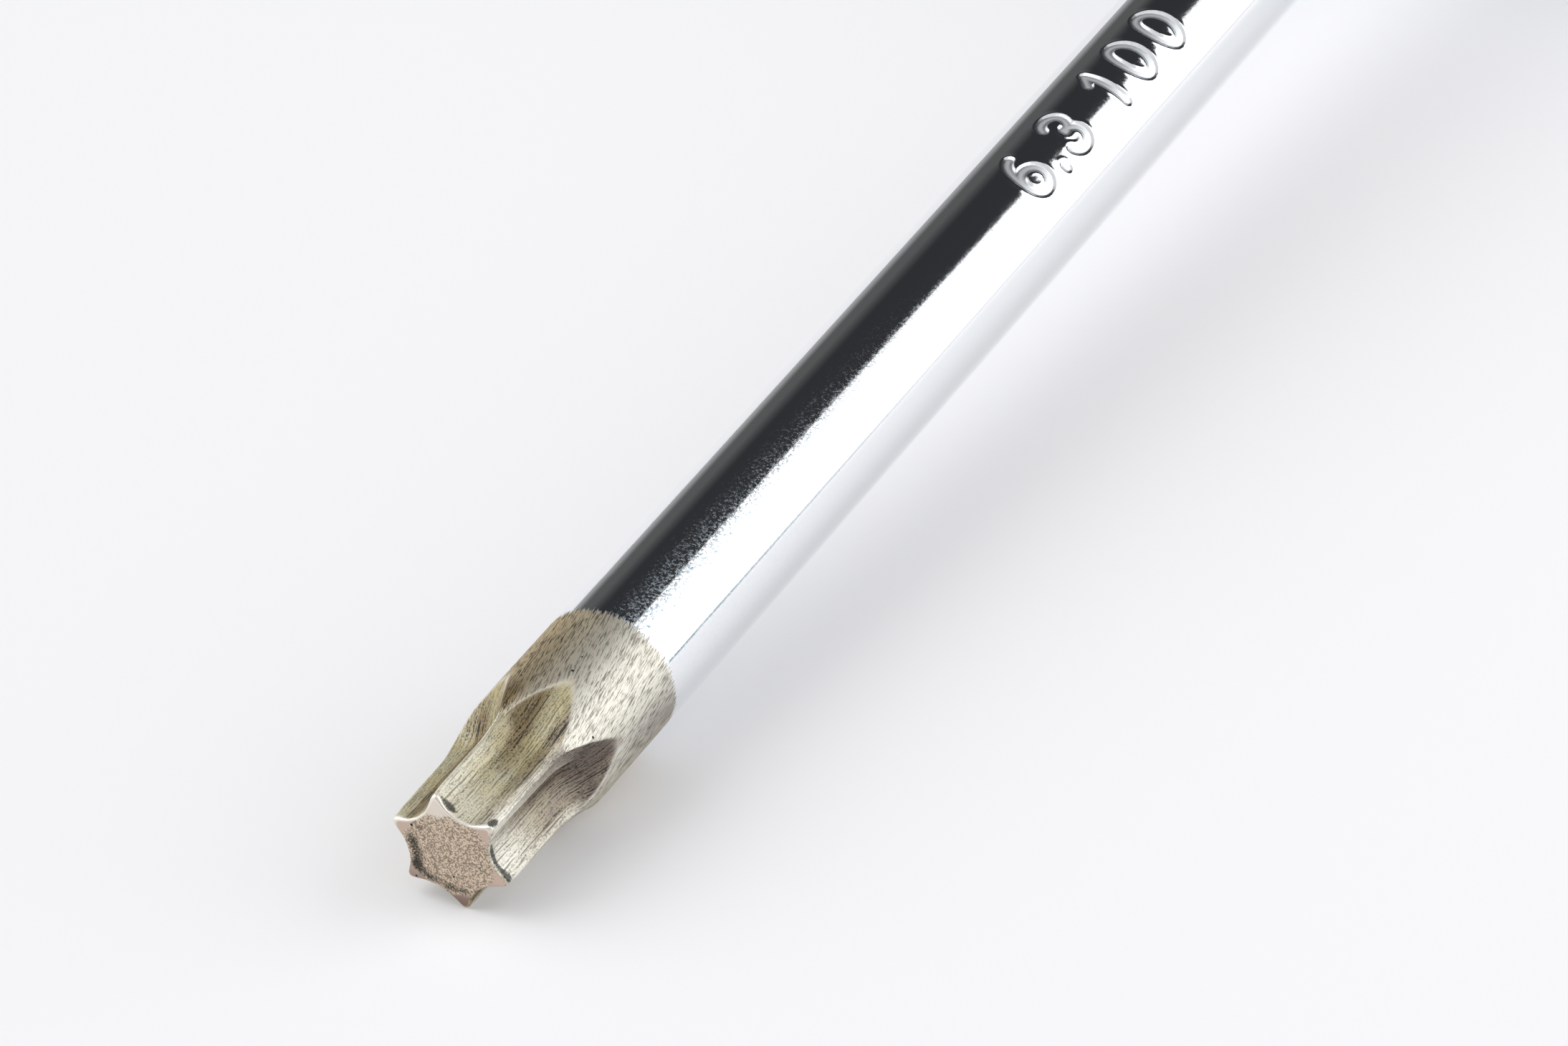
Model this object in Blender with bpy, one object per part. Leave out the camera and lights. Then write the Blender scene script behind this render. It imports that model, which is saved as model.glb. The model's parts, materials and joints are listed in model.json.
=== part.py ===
"""Fixed-blade hexalobular screwdriver, lying on a flat surface as it comes to rest.

The tool is modelled along +X, from the tip face at x = 0 to the butt of the handle, with every piece
parented to one empty. The empty is then tilted and moved until the tip and the handle both touch z = 0,
with the origin under the middle of the tool.
"""

import math

import bmesh
import bpy
from mathutils import Matrix, Vector

MM = 0.001

# Fits
FIT_GAP = 0.3 * MM  # clearance between two pieces that touch

# Drive tip, a size 30 hexalobular driver
LOBES = 6
LOBE_DIAMETER = 5.54 * MM  # across the lobes
FLUTE_DIAMETER = 3.90 * MM  # across the bottoms of the flutes
LOBE_LAND = 0.20 * MM  # width of each lobe's crest
LOBE_LENGTH = 3.6 * MM  # stretch of the tip at the full lobe diameter
TAPER_END = 7.2 * MM  # where the turned tip has grown to the shaft's diameter
FLUTE_FULL = 5.2 * MM  # the flutes begin to rise here
FLUTE_END = 8.8 * MM  # and run out of the shaft here
FLUTE_RISE_POWER = 1.4  # the flutes' floors steepen towards the tip by this power
TIP_FACE_DIAMETER = 3.6 * MM  # flat middle of the end face
TIP_CHAMFER = math.radians(15.5)  # slope of the lobes' ends behind the flat face
TIP_ROLL = math.radians(18.1)  # turn of the lobes about the blade, from +Y towards +Z

# Blade
SHAFT_DIAMETER = 6.35 * MM  # quarter-inch bar
BLADE_LENGTH = 100.0 * MM  # tip face to the handle's nose
TANG_LENGTH = 62.0 * MM  # held inside the handle
TANG_CHAMFER = 0.8 * MM
WING_PAIRS = 2  # places where the tang is pressed flat so that it can't turn
WING_LENGTH = 12.0 * MM
WING_PITCH = 22.0 * MM
WING_SETBACK = 18.0 * MM  # nose to the middle of the first pair
WING_SPREAD = 1.36  # width of a pressed place over the shaft's diameter

# Handle lengths, from the nose to the butt
NOSE_LENGTH = 9.0 * MM
RING_LENGTH = 18.0 * MM  # soft ring for turning with the fingertips
GUARD_LENGTH = 7.0 * MM  # rise to the finger guard
THUMB_LENGTH = 10.0 * MM  # guard to the narrow place behind it
PALM_LENGTH = 26.0 * MM  # narrow place to the fullest place
HEEL_LENGTH = 14.0 * MM  # fullest place to the end cap
CAP_LENGTH = 23.0 * MM

# Handle radii
NOSE_RADIUS = 6.2 * MM
RING_FRONT_RADIUS = 8.4 * MM
RING_REAR_RADIUS = 10.4 * MM
GUARD_RADIUS = 14.6 * MM
THUMB_RADIUS = 13.4 * MM
PALM_RADIUS = 16.4 * MM
BUTT_RADIUS = 11.5 * MM
HEEL_POWER = 2.2  # how late the handle closes in towards the butt
HEX_DEPTH = 0.035  # share by which the six-sided grip swells at its ridges
RING_WALL = 2.0 * MM  # soft ring at its front
NOSE_FILLET = 1.2 * MM
BUTT_FILLET = 1.8 * MM

# Soft pads, one on each side of the grip
PADS = 6
PAD_THICKNESS = 1.7 * MM  # at the grip's narrowest place
PAD_RIB = 2.0 * MM  # hard rib left between two pads at their undersides
PAD_PROUD = 0.25 * MM  # height of a pad over the hard grip
PAD_MARGIN = 3.0 * MM  # hard plastic left before and behind a pad

# End cap and its disc
SPIGOT_RADIUS = 8.5 * MM
HANG_HOLE_DIAMETER = 8.0 * MM
HOLE_WALL = 3.0 * MM  # plastic before and behind the hanging hole
DISC_RADIUS = 6.5 * MM
DISC_THICKNESS = 1.4 * MM
DISC_CHAMFER = 0.25 * MM
DISC_RECESS = 0.3 * MM  # depth of the disc's badge under the butt face
BADGE_RADIUS = 3.6 * MM  # six-lobed shape that shows the kind of tip
BADGE_HEIGHT = 0.25 * MM
BADGE_WAVE = 0.18  # share by which its lobes stand out

# Facets
BLADE_SIDES = 48
FLUTE_SIDES = 48
HANDLE_SIDES = 48
TAPER_RINGS = 7
FLUTE_RINGS = 9
WING_RINGS = 7
NOSE_RINGS = 5
SOFT_RING_RINGS = 8
GUARD_RINGS = 7
GRIP_RINGS = 15
CAP_RINGS = 9
FILLET_RINGS = 5
PAD_END_POINTS = 9
SHARP_ANGLE = math.radians(35.0)

# Search for the resting tilt
STEEPEST_TILT = math.radians(20.0)
TILT_HALVINGS = 40

# Colours, linear
STEEL = (0.62, 0.62, 0.63)
BLUE = (0.018, 0.091, 0.275)
BLACK = (0.020, 0.021, 0.023)
DARK_GREY = (0.030, 0.033, 0.038)
PALE_GREY = (0.55, 0.57, 0.59)

# Places along the tool
NOSE_FRONT = BLADE_LENGTH
RING_FRONT = NOSE_FRONT + NOSE_LENGTH
RING_REAR = RING_FRONT + RING_LENGTH
GUARD_PEAK = RING_REAR + GUARD_LENGTH
THUMB_WAIST = GUARD_PEAK + THUMB_LENGTH
PALM_PEAK = THUMB_WAIST + PALM_LENGTH
CAP_FRONT = PALM_PEAK + HEEL_LENGTH
BUTT = CAP_FRONT + CAP_LENGTH
TANG_END = NOSE_FRONT + TANG_LENGTH
DISC_REAR = BUTT - DISC_RECESS - BADGE_HEIGHT
DISC_FRONT = DISC_REAR - DISC_THICKNESS
RECESS_FLOOR = DISC_FRONT - FIT_GAP
HOLE_PLACE = RECESS_FLOOR - HOLE_WALL - HANG_HOLE_DIAMETER / 2
SPIGOT_END = HOLE_PLACE - HANG_HOLE_DIAMETER / 2 - HOLE_WALL
SEAT_RADIUS = RING_FRONT_RADIUS - RING_WALL

# Where the handle's outline is level, and its mean radius there
HANDLE_STATIONS = (
    (NOSE_FRONT, NOSE_RADIUS),
    (RING_FRONT, RING_FRONT_RADIUS),
    (RING_REAR, RING_REAR_RADIUS),
    (GUARD_PEAK, GUARD_RADIUS),
    (THUMB_WAIST, THUMB_RADIUS),
    (PALM_PEAK, PALM_RADIUS),
)


def smooth(share):
    """Eases from 0 to 1, level at both ends."""
    share = min(1.0, max(0.0, share))
    return share * share * (3.0 - 2.0 * share)


def steps(first, last, count):
    """Evenly spaced values from first to last, both included."""
    return [first + (last - first) * i / (count - 1) for i in range(count)]


def ring(x, radius, sides, roll=0.0):
    """Points round the tool's axis at x. radius is a number, or a function of the angle from +Y."""
    points = []
    for i in range(sides):
        angle = roll + 2.0 * math.pi * i / sides
        r = radius(angle) if callable(radius) else radius
        points.append(Vector((x, r * math.cos(angle), r * math.sin(angle))))
    return points


def new_object(name, bm, tool):
    """Puts a finished bmesh into the scene as a named object that hangs from the tool's empty."""
    bmesh.ops.recalc_face_normals(bm, faces=bm.faces)
    mesh = bpy.data.meshes.new(name)
    bm.to_mesh(mesh)
    bm.free()
    mesh.shade_smooth()
    mesh.set_sharp_from_angle(angle=SHARP_ANGLE)
    made = bpy.data.objects.new(name, mesh)
    bpy.context.scene.collection.objects.link(made)
    made.parent = tool
    return made


def loft(name, rings, tool, tube=False):
    """A solid through rings of as many points each: capped at both ends, or closed on itself as a tube."""
    bm = bmesh.new()
    loops = [[bm.verts.new(point) for point in points] for points in rings]
    count = len(loops[0])
    pairs = list(zip(loops, loops[1:]))
    if tube:
        pairs.append((loops[-1], loops[0]))
    for near, far in pairs:
        for i in range(count):
            j = (i + 1) % count
            bm.faces.new((near[i], near[j], far[j], far[i]))
    if not tube:
        bm.faces.new(loops[0])
        bm.faces.new(loops[-1])
    return new_object(name, bm, tool)


def boolean(target, other, operation):
    """Cuts other out of target, or keeps only what both hold; other is left out of the model."""
    modifier = target.modifiers.new(other.name, "BOOLEAN")
    modifier.operation = operation
    modifier.solver = "EXACT"
    modifier.object = other
    other.hide_render = True
    other.display_type = "WIRE"


def finish(piece, name, colour, roughness, metallic=0.0):
    """Gives a piece its own plain material."""
    material = bpy.data.materials.new(name)
    material.use_nodes = True
    shader = material.node_tree.nodes["Principled BSDF"]
    shader.inputs["Base Color"].default_value = (*colour, 1.0)
    shader.inputs["Roughness"].default_value = roughness
    shader.inputs["Metallic"].default_value = metallic
    piece.data.materials.append(material)


def tip_radius(x):
    """Radius of the turned tip before its flutes are cut: flat face, chamfer, lobes, then the taper."""
    chamfered = TIP_FACE_DIAMETER / 2 + x / math.tan(TIP_CHAMFER)
    growth = smooth((x - LOBE_LENGTH) / (TAPER_END - LOBE_LENGTH))
    turned = LOBE_DIAMETER / 2 + growth * (SHAFT_DIAMETER - LOBE_DIAMETER) / 2
    return min(chamfered, turned)


def flute_circle():
    """Distance from the axis and radius of the circle that cuts a flute: it touches the flute diameter
    and leaves the lobe land on the lobe diameter."""
    lobe = LOBE_DIAMETER / 2
    floor = FLUTE_DIAMETER / 2
    half_angle = math.pi / LOBES - math.asin(LOBE_LAND / 2 / lobe)
    distance = (lobe**2 - floor**2) / (2.0 * (lobe * math.cos(half_angle) - floor))
    return distance, distance - floor


def flute_lift(x):
    """How far a flute's floor has risen at x, from nothing at the tip to the shaft's surface at its end."""
    share = (FLUTE_END - x) / (FLUTE_END - FLUTE_FULL)
    depth = min(1.0, max(0.0, share)) ** FLUTE_RISE_POWER
    return (1.0 - depth) * (SHAFT_DIAMETER - FLUTE_DIAMETER) / 2


def flute_cutter(index, tool):
    """Tube that cuts one flute: its circle follows the flute's floor and leaves the shaft at the end."""
    distance, radius = flute_circle()
    angle = TIP_ROLL + (index + 0.5) * 2.0 * math.pi / LOBES
    out = Vector((0.0, math.cos(angle), math.sin(angle)))
    clear = SHAFT_DIAMETER / 2
    rings = []
    for x in [-clear, *steps(FLUTE_FULL, FLUTE_END, FLUTE_RINGS), FLUTE_END + clear]:
        beyond = max(0.0, x - FLUTE_END)
        centre = distance + flute_lift(x) + beyond
        rings.append([p + centre * out for p in ring(x, radius, FLUTE_SIDES, angle)])
    return loft(f"flute_cutter_{index + 1}", rings, tool)


def tang_rings(grow=0.0):
    """Rings of the round bar inside the handle, pressed flat and wide at each pair of wings."""
    radius = SHAFT_DIAMETER / 2
    rings = []
    for pair in range(WING_PAIRS):
        middle = NOSE_FRONT + WING_SETBACK + pair * WING_PITCH
        for share in steps(-1.0, 1.0, WING_RINGS):
            x = middle + share * WING_LENGTH / 2
            wide = 1.0 + smooth(2.0 - 2.0 * abs(share)) * (WING_SPREAD - 1.0)
            across = radius * wide + grow
            through = radius / wide + grow
            round_points = ring(x, 1.0, BLADE_SIDES, TIP_ROLL)
            rings.append([Vector((x, p.y * across, p.z * through)) for p in round_points])
    return rings


def make_blade(tool):
    """One bar: the turned and fluted tip, the round shaft and the tang."""
    chamfer_end = (LOBE_DIAMETER - TIP_FACE_DIAMETER) / 2 * math.tan(TIP_CHAMFER)
    places = [0.0, chamfer_end, *steps(LOBE_LENGTH, TAPER_END, TAPER_RINGS)]
    rings = [ring(x, tip_radius(x), BLADE_SIDES, TIP_ROLL) for x in places]
    rings += tang_rings()
    radius = SHAFT_DIAMETER / 2
    rings.append(ring(TANG_END - TANG_CHAMFER, radius, BLADE_SIDES, TIP_ROLL))
    rings.append(ring(TANG_END, radius - TANG_CHAMFER, BLADE_SIDES, TIP_ROLL))
    blade = loft("blade", rings, tool)
    for index in range(LOBES):
        boolean(blade, flute_cutter(index, tool), "DIFFERENCE")
    finish(blade, "chrome_plated_steel", STEEL, 0.12, 1.0)
    return blade


def handle_radius(x):
    """Mean radius of the handle's outer form at x: eased between its stations, then closing to the butt."""
    for (x0, r0), (x1, r1) in zip(HANDLE_STATIONS, HANDLE_STATIONS[1:]):
        if x < x1:
            return r0 + (r1 - r0) * smooth((x - x0) / (x1 - x0))
    share = (x - PALM_PEAK) / (BUTT - PALM_PEAK)
    return PALM_RADIUS - (PALM_RADIUS - BUTT_RADIUS) * share**HEEL_POWER


def handle_ring(x, grow=0.0):
    """Section of the handle: round at the nose and ring, six-sided with a flat underneath from the guard on."""
    mean = handle_radius(x) + grow
    swell = HEX_DEPTH * smooth((x - RING_REAR) / GUARD_LENGTH)
    return ring(x, lambda angle: mean * (1.0 + swell * math.cos(PADS * angle)), HANDLE_SIDES)


def pad_floor():
    """Distance of a pad's flat underside from the axis, set by the grip's narrowest place."""
    narrowest = min(handle_radius(x) for x in steps(GUARD_PEAK, CAP_FRONT, GRIP_RINGS))
    return narrowest * (1.0 - HEX_DEPTH) - PAD_THICKNESS


def pad_prism(name, index, grow, tool):
    """Block with round ends that stands on one side of the grip; grow opens a pad out into its pocket."""
    sector = math.pi / PADS
    half_width = (2.0 * pad_floor() * math.sin(sector) - PAD_RIB) / (2.0 * math.cos(sector))
    reach = half_width + grow
    first = GUARD_PEAK + PAD_MARGIN + half_width
    last = CAP_FRONT - PAD_MARGIN - half_width
    outline = []
    for centre, start in ((last, -math.pi / 2), (first, math.pi / 2)):
        for turn in steps(start, start + math.pi, PAD_END_POINTS):
            outline.append(Vector((centre + reach * math.cos(turn), reach * math.sin(turn), 0.0)))
    heights = (pad_floor() - grow, PALM_RADIUS + GUARD_RADIUS)
    prism = loft(name, [[p + Vector((0.0, 0.0, z)) for p in outline] for z in heights], tool)
    prism.data.transform(Matrix.Rotation(index * 2.0 * sector, 4, "X"))
    return prism


def make_core(tool):
    """Hard handle body: nose, seat for the soft ring, guard, grip with pockets for the pads, rear spigot."""
    rings = []
    for turn in steps(0.0, math.pi / 2, FILLET_RINGS):
        x = NOSE_FRONT + NOSE_FILLET * (1.0 - math.cos(turn))
        rings.append(handle_ring(x, -NOSE_FILLET * (1.0 - math.sin(turn))))
    rings += [handle_ring(x) for x in steps(NOSE_FRONT + NOSE_FILLET, RING_FRONT, NOSE_RINGS)[1:]]
    rings += [ring(x, SEAT_RADIUS, HANDLE_SIDES) for x in (RING_FRONT, RING_REAR)]
    rings += [handle_ring(x) for x in steps(RING_REAR, GUARD_PEAK, GUARD_RINGS)]
    rings += [handle_ring(x) for x in steps(GUARD_PEAK, CAP_FRONT, GRIP_RINGS)[1:]]
    rings += [ring(x, SPIGOT_RADIUS, HANDLE_SIDES) for x in (CAP_FRONT, SPIGOT_END)]
    core = loft("handle_core", rings, tool)
    bore = SHAFT_DIAMETER / 2 + FIT_GAP
    inside = [ring(NOSE_FRONT - NOSE_FILLET, bore, BLADE_SIDES, TIP_ROLL), *tang_rings(FIT_GAP)]
    inside.append(ring(TANG_END + FIT_GAP, bore, BLADE_SIDES, TIP_ROLL))
    boolean(core, loft("tang_cavity", inside, tool), "DIFFERENCE")
    for index in range(PADS):
        boolean(core, pad_prism(f"pad_pocket_{index + 1}", index, FIT_GAP, tool), "DIFFERENCE")
    finish(core, "blue_polypropylene", BLUE, 0.32)
    return core


def make_ring(tool):
    """Soft turning ring moulded round the seat between the nose and the guard."""
    front = RING_FRONT + FIT_GAP
    rear = RING_REAR - FIT_GAP
    outer = [handle_ring(x) for x in steps(front, rear, SOFT_RING_RINGS)]
    inner = [ring(x, SEAT_RADIUS + FIT_GAP, HANDLE_SIDES) for x in (rear, front)]
    soft_ring = loft("front_grip_ring", outer + inner, tool, tube=True)
    finish(soft_ring, "black_soft_elastomer", BLACK, 0.62)
    return soft_ring


def make_pads(tool):
    """Six soft pads, each filling its pocket and standing a little proud of the hard grip."""
    places = steps(GUARD_PEAK, CAP_FRONT, GRIP_RINGS)
    surface = loft("pad_surface", [handle_ring(x, PAD_PROUD) for x in places], tool)
    pads = []
    for index in range(PADS):
        pad = pad_prism(f"grip_pad_{index + 1}", index, 0.0, tool)
        boolean(pad, surface, "INTERSECT")
        finish(pad, f"black_soft_elastomer_{index + 1}", BLACK, 0.62)
        pads.append(pad)
    return pads


def make_cap(tool):
    """End cap: socket over the core's spigot, cross hole for hanging the tool, recess for the disc."""
    rings = [handle_ring(x) for x in steps(CAP_FRONT + FIT_GAP, BUTT - BUTT_FILLET, CAP_RINGS)]
    for turn in steps(0.0, math.pi / 2, FILLET_RINGS)[1:]:
        x = BUTT - BUTT_FILLET * (1.0 - math.sin(turn))
        rings.append(handle_ring(x, -BUTT_FILLET * (1.0 - math.cos(turn))))
    cap = loft("end_cap", rings, tool)
    rounds = (
        ("spigot_socket", SPIGOT_RADIUS + FIT_GAP, CAP_FRONT - FIT_GAP, SPIGOT_END + FIT_GAP),
        ("disc_recess", DISC_RADIUS + FIT_GAP, RECESS_FLOOR, BUTT + FIT_GAP),
    )
    for name, radius, start, end in rounds:
        cutter = loft(name, [ring(x, radius, HANDLE_SIDES) for x in (start, end)], tool)
        boolean(cap, cutter, "DIFFERENCE")
    across = 2.0 * PALM_RADIUS
    hole_rings = [ring(x, HANG_HOLE_DIAMETER / 2, HANDLE_SIDES) for x in (-across, across)]
    hole = loft("hanging_hole", hole_rings, tool)
    hole.data.transform(Matrix.Translation((HOLE_PLACE, 0.0, 0.0)) @ Matrix.Rotation(math.pi / 2, 4, "Z"))
    boolean(cap, hole, "DIFFERENCE")
    finish(cap, "dark_grey_polypropylene", DARK_GREY, 0.4)
    return cap


def make_disc(tool):
    """Round insert in the butt with a raised six-lobed shape, so that the tip can be told in a rack."""

    def badge(angle):
        return BADGE_RADIUS * (1.0 + BADGE_WAVE * math.cos(LOBES * angle))

    rings = [
        ring(DISC_FRONT, DISC_RADIUS, HANDLE_SIDES),
        ring(DISC_REAR - DISC_CHAMFER, DISC_RADIUS, HANDLE_SIDES),
        ring(DISC_REAR, DISC_RADIUS - DISC_CHAMFER, HANDLE_SIDES),
        ring(DISC_REAR, badge, HANDLE_SIDES),
        ring(DISC_REAR + BADGE_HEIGHT, badge, HANDLE_SIDES),
    ]
    disc = loft("cap_disc", rings, tool)
    finish(disc, "pale_grey_polypropylene", PALE_GREY, 0.35)
    return disc


def solid_points(pieces):
    """Every corner of the finished pieces, cuts included, along the tool's own axes."""
    graph = bpy.context.evaluated_depsgraph_get()
    points = []
    for piece in pieces:
        shape = piece.evaluated_get(graph)
        points += [vertex.co.copy() for vertex in shape.to_mesh().vertices]
        shape.to_mesh_clear()
    return points


def rest(tool, blade, handle):
    """Tilts the tool until its tip and its handle are level underneath, then stands it on z = 0."""
    blade_points = solid_points([blade])
    handle_points = solid_points(handle)

    def lowest(points, tilt):
        return min(p.x * math.sin(tilt) + p.z * math.cos(tilt) for p in points)

    low, high = 0.0, STEEPEST_TILT
    for _ in range(TILT_HALVINGS):
        tilt = (low + high) / 2
        if lowest(blade_points, tilt) > lowest(handle_points, tilt):
            low = tilt
        else:
            high = tilt
    turn = Matrix.Rotation(-tilt, 4, "Y")
    placed = [turn @ p for p in blade_points + handle_points]
    middle = [(min(p[i] for p in placed) + max(p[i] for p in placed)) / 2 for i in range(2)]
    tool.rotation_euler = (0.0, -tilt, 0.0)
    tool.location = (-middle[0], -middle[1], -min(p.z for p in placed))


def main():
    for old in list(bpy.data.objects):
        bpy.data.objects.remove(old, do_unlink=True)
    tool = bpy.data.objects.new("tool_axis", None)
    bpy.context.scene.collection.objects.link(tool)
    blade = make_blade(tool)
    handle = [make_core(tool), make_ring(tool), *make_pads(tool), make_cap(tool), make_disc(tool)]
    rest(tool, blade, handle)


main()
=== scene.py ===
"""Looks of a fixed-blade hexalobular screwdriver that lies on a pale table.

Shapes are worked out in millimetres along the tool's own axes: x runs from the tip face to the butt, and an
angle round the tool starts at its side, the frame's +Y, and turns towards its top. The last step of each
shape turns it into the frame, so every object sits at the origin.
"""

import json
import math
from functools import partial

import bpy
import numpy as np
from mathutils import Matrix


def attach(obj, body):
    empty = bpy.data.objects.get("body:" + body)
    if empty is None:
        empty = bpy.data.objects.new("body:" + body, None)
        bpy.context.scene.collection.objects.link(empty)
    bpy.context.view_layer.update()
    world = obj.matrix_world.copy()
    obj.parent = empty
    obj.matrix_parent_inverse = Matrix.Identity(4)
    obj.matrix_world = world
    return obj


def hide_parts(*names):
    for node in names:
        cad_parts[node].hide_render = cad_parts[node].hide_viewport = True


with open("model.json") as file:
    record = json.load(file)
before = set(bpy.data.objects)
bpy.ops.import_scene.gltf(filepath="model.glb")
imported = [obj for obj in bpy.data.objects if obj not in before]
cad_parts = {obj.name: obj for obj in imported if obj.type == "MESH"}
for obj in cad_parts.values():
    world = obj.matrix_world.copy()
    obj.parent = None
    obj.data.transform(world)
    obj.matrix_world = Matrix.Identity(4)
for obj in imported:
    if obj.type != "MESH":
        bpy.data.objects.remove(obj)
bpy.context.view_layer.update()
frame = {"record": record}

MM = 0.001

# The tool's own axes, from the mount on its tip face
TIP_MOUNT = next(mount for mount in frame["record"]["mounts"] if mount["name"] == "tip_face")
TIP = np.array(TIP_MOUNT["pos_m"])
AXIS = -np.array(TIP_MOUNT["axis"])
SIDE = np.array((0.0, 1.0, 0.0))
UP = np.cross(AXIS, SIDE)
TILT = math.atan2(AXIS[2], AXIS[0])

# Drive tip
LOBES = 6
LOBE_RADIUS = 2.77
FLUTE_RADIUS = 1.95  # axis to the bottom of a flute
LOBE_LAND = 0.20  # width of each lobe's crest
LOBE_LENGTH = 3.6  # stretch of the tip at the full lobe radius
TAPER_END = 7.2  # where the turned tip has grown to the shaft's radius
FLUTE_FULL = 5.45  # the flutes begin to rise here
FLUTE_END = 8.8  # and run out of the shaft here
FLUTE_RISE_POWER = 1.75
FLUTE_EASE = 0.12  # how gently a flute begins to rise
FACE_FRONT = -0.2  # place of the end face along the axis
FACE_RADIUS = 1.8  # flat middle of the end face
FACE_SLOPE = math.tan(math.radians(7.0))  # of the lobes' ends behind the flat face
FACE_EASE = 0.2  # width over which the flat face turns into that slope
TIP_ROLL = math.radians(18.1)
TOP_LOBE_DEGREES = 78.0
CREST_END = 5.75  # the crests between the flutes take the flutes' colour and marks in front of this
EDGE_ROUND = 0.04  # worn edge between a flute and the land
RIM_ROUND = 0.06  # worn edge of the end face in the flutes
RIM_NICK = 0.012  # nicks in that edge
LOBE_WEAR = math.radians(3.0)  # angle over which the lobes' corners at the end face are worn round
LOBE_DRAWN_OUT = 0.06  # length that the lobes get back after that
LOBE_FOOT = 2.1  # radius of the end face where the lobes begin
SECTOR = 2.0 * math.pi / LOBES
LOBE_ANGLE = SECTOR / 2 - math.asin(LOBE_LAND / 2 / LOBE_RADIUS)
LOBE_REACH = LOBE_RADIUS * math.cos(LOBE_ANGLE)
# From the axis to the centre of a flute's circle, and the circle's radius
FLUTE_DISTANCE = (LOBE_RADIUS**2 - FLUTE_RADIUS**2) / (2 * (LOBE_REACH - FLUTE_RADIUS))
FLUTE_CIRCLE = FLUTE_DISTANCE - FLUTE_RADIUS

# Finish of the blade
GRINDING_LEAN = math.radians(11.0)  # of the grinding lines across the bar
CUTTER_ROW_PITCH = 0.14
CUTTER_DOT_PITCH = 0.21
MARK_DEPTH = 0.009
FROST_END = 44.0  # the specks on the plating thin out up to here

# Dirt, stains and painted shade on the tip: place along the axis, angle in degrees, length, width and
# strength
SIDE_DIRT = (
    (0.26, 136.3, 0.28, 0.18, 1.5),
    (0.15, 90.0, 0.24, 0.42, 1.2),
    (0.08, 181.0, 0.16, 0.55, 1.0),
    (0.10, 162.0, 0.18, 0.40, 0.9),
    (0.20, 194.0, 0.26, 0.24, 1.0),
    (0.35, 26.0, 0.30, 0.25, 0.6),
    (0.15, 300.0, 0.25, 0.40, 0.8),
)
# Patches in the flutes are stains, except two that are painted shade: the dark hollow at the rear of the
# upper flute (82 to 95 degrees) and the low wall by the bottom lobe (245 degrees)
FLUTE_STAINS_AND_SHADE = (
    (7.2, 166.0, 1.0, 0.75, 0.5),
    (6.2, 91.0, 0.9, 0.34, 1.2),
    (7.4, 95.0, 0.9, 0.30, 1.0),
    (5.3, 89.0, 0.8, 0.35, 0.6),
    (4.9, 82.0, 1.3, 0.30, 0.6),
    (0.8, 245.0, 1.5, 0.80, 1.5),
    (5.0, 139.0, 0.9, 0.25, 0.9),
    (4.4, 104.0, 1.2, 0.45, 0.55),
    (3.6, 156.0, 3.0, 0.30, 0.4),
    (4.5, 38.0, 3.0, 0.80, 0.9),
    (1.4, 40.0, 2.0, 0.90, 0.9),
    (6.8, 288.0, 1.4, 0.60, 0.8),
    (5.2, 340.0, 1.6, 0.30, 0.7),
)
LAND_STAINS = (
    (6.6, 70.0, 1.4, 0.60, 1.2),
    (9.8, 72.0, 2.2, 0.90, 0.5),
    (11.5, 188.0, 2.4, 1.00, 0.6),
)
# On the end face: place across and up, width, height and strength
FACE_DIRT = (
    (1.70, 0.25, 0.45, 0.50, 0.80),
    (1.45, -0.45, 0.45, 0.50, 0.72),
    (1.55, -1.05, 0.40, 0.35, 0.80),
    (0.95, -1.45, 0.65, 0.38, 0.76),
    (-0.05, -1.72, 0.55, 0.34, 0.76),
    (-0.70, -1.70, 0.30, 0.25, 0.60),
    (1.20, 0.95, 0.40, 0.30, 0.65),
    (-1.40, -0.20, 0.50, 0.90, 0.60),
)

# Shaft
SHAFT_RADIUS = 3.175
PLATING_START = 13.2  # bare steel in front of this
FINE_ROWS_END = 9.0  # fine rows along the flutes
TIP_ROWS_END = 15.8  # grid of the tip in front of this
SHAFT_ROWS_START = 16.0
SHAFT_HIDDEN_END = 103.8  # inside the handle's nose

# Stamped size numbers: the bar's size and the blade's length
STAMP_MIDDLE = math.radians(108.0)
STAMP_HEIGHT = 2.35  # of the strokes' middle lines
STAMP_WIDTH = 1.6
STAMP_STROKE = 0.33  # half the width of a stroke
STAMP_DEPTH = 0.07
STAMP_LIP = 0.012  # metal pushed up beside a stroke
STAMP_START = 50.2
STAMP_ROWS_START = 49.0  # fine rows along the stamp
STAMP_ROWS_END = 67.0
STAMP_PLACES = (("6", 0.0), (".", 2.0), ("3", 4.0), ("1", 8.2), ("0", 10.9), ("0", 13.9))

# Handle
NOSE_FRONT = 100.0
RING_FRONT = 109.0
RING_REAR = 127.0
GUARD_PEAK = 134.0
PALM_PEAK = 170.0
CAP_FRONT = 184.0
BUTT = 207.0
STATION_PLACES = (NOSE_FRONT, RING_FRONT, RING_REAR, GUARD_PEAK, 144.0, PALM_PEAK)
STATION_RADII = (6.2, 8.4, 10.4, 14.6, 13.4, 16.4)
BUTT_RADIUS = 11.5
HEEL_POWER = 2.2
HEX_DEPTH = 0.035
NOSE_FILLET = 1.2
BUTT_FILLET = 1.8
SEAT_RADIUS = 6.4
SPIGOT_RADIUS = 8.5
SEAM_ROUND = 0.45  # rounded edges where two pieces meet
BORE_GAP = 0.12  # round the shaft in the nose
BORE_CHAMFER = 0.35
FIT_GAP = 0.3  # under the soft ring
RING_GAP = 0.1  # at each end of the soft ring
CAP_GAP = 0.12  # between the handle body and the cap

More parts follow.
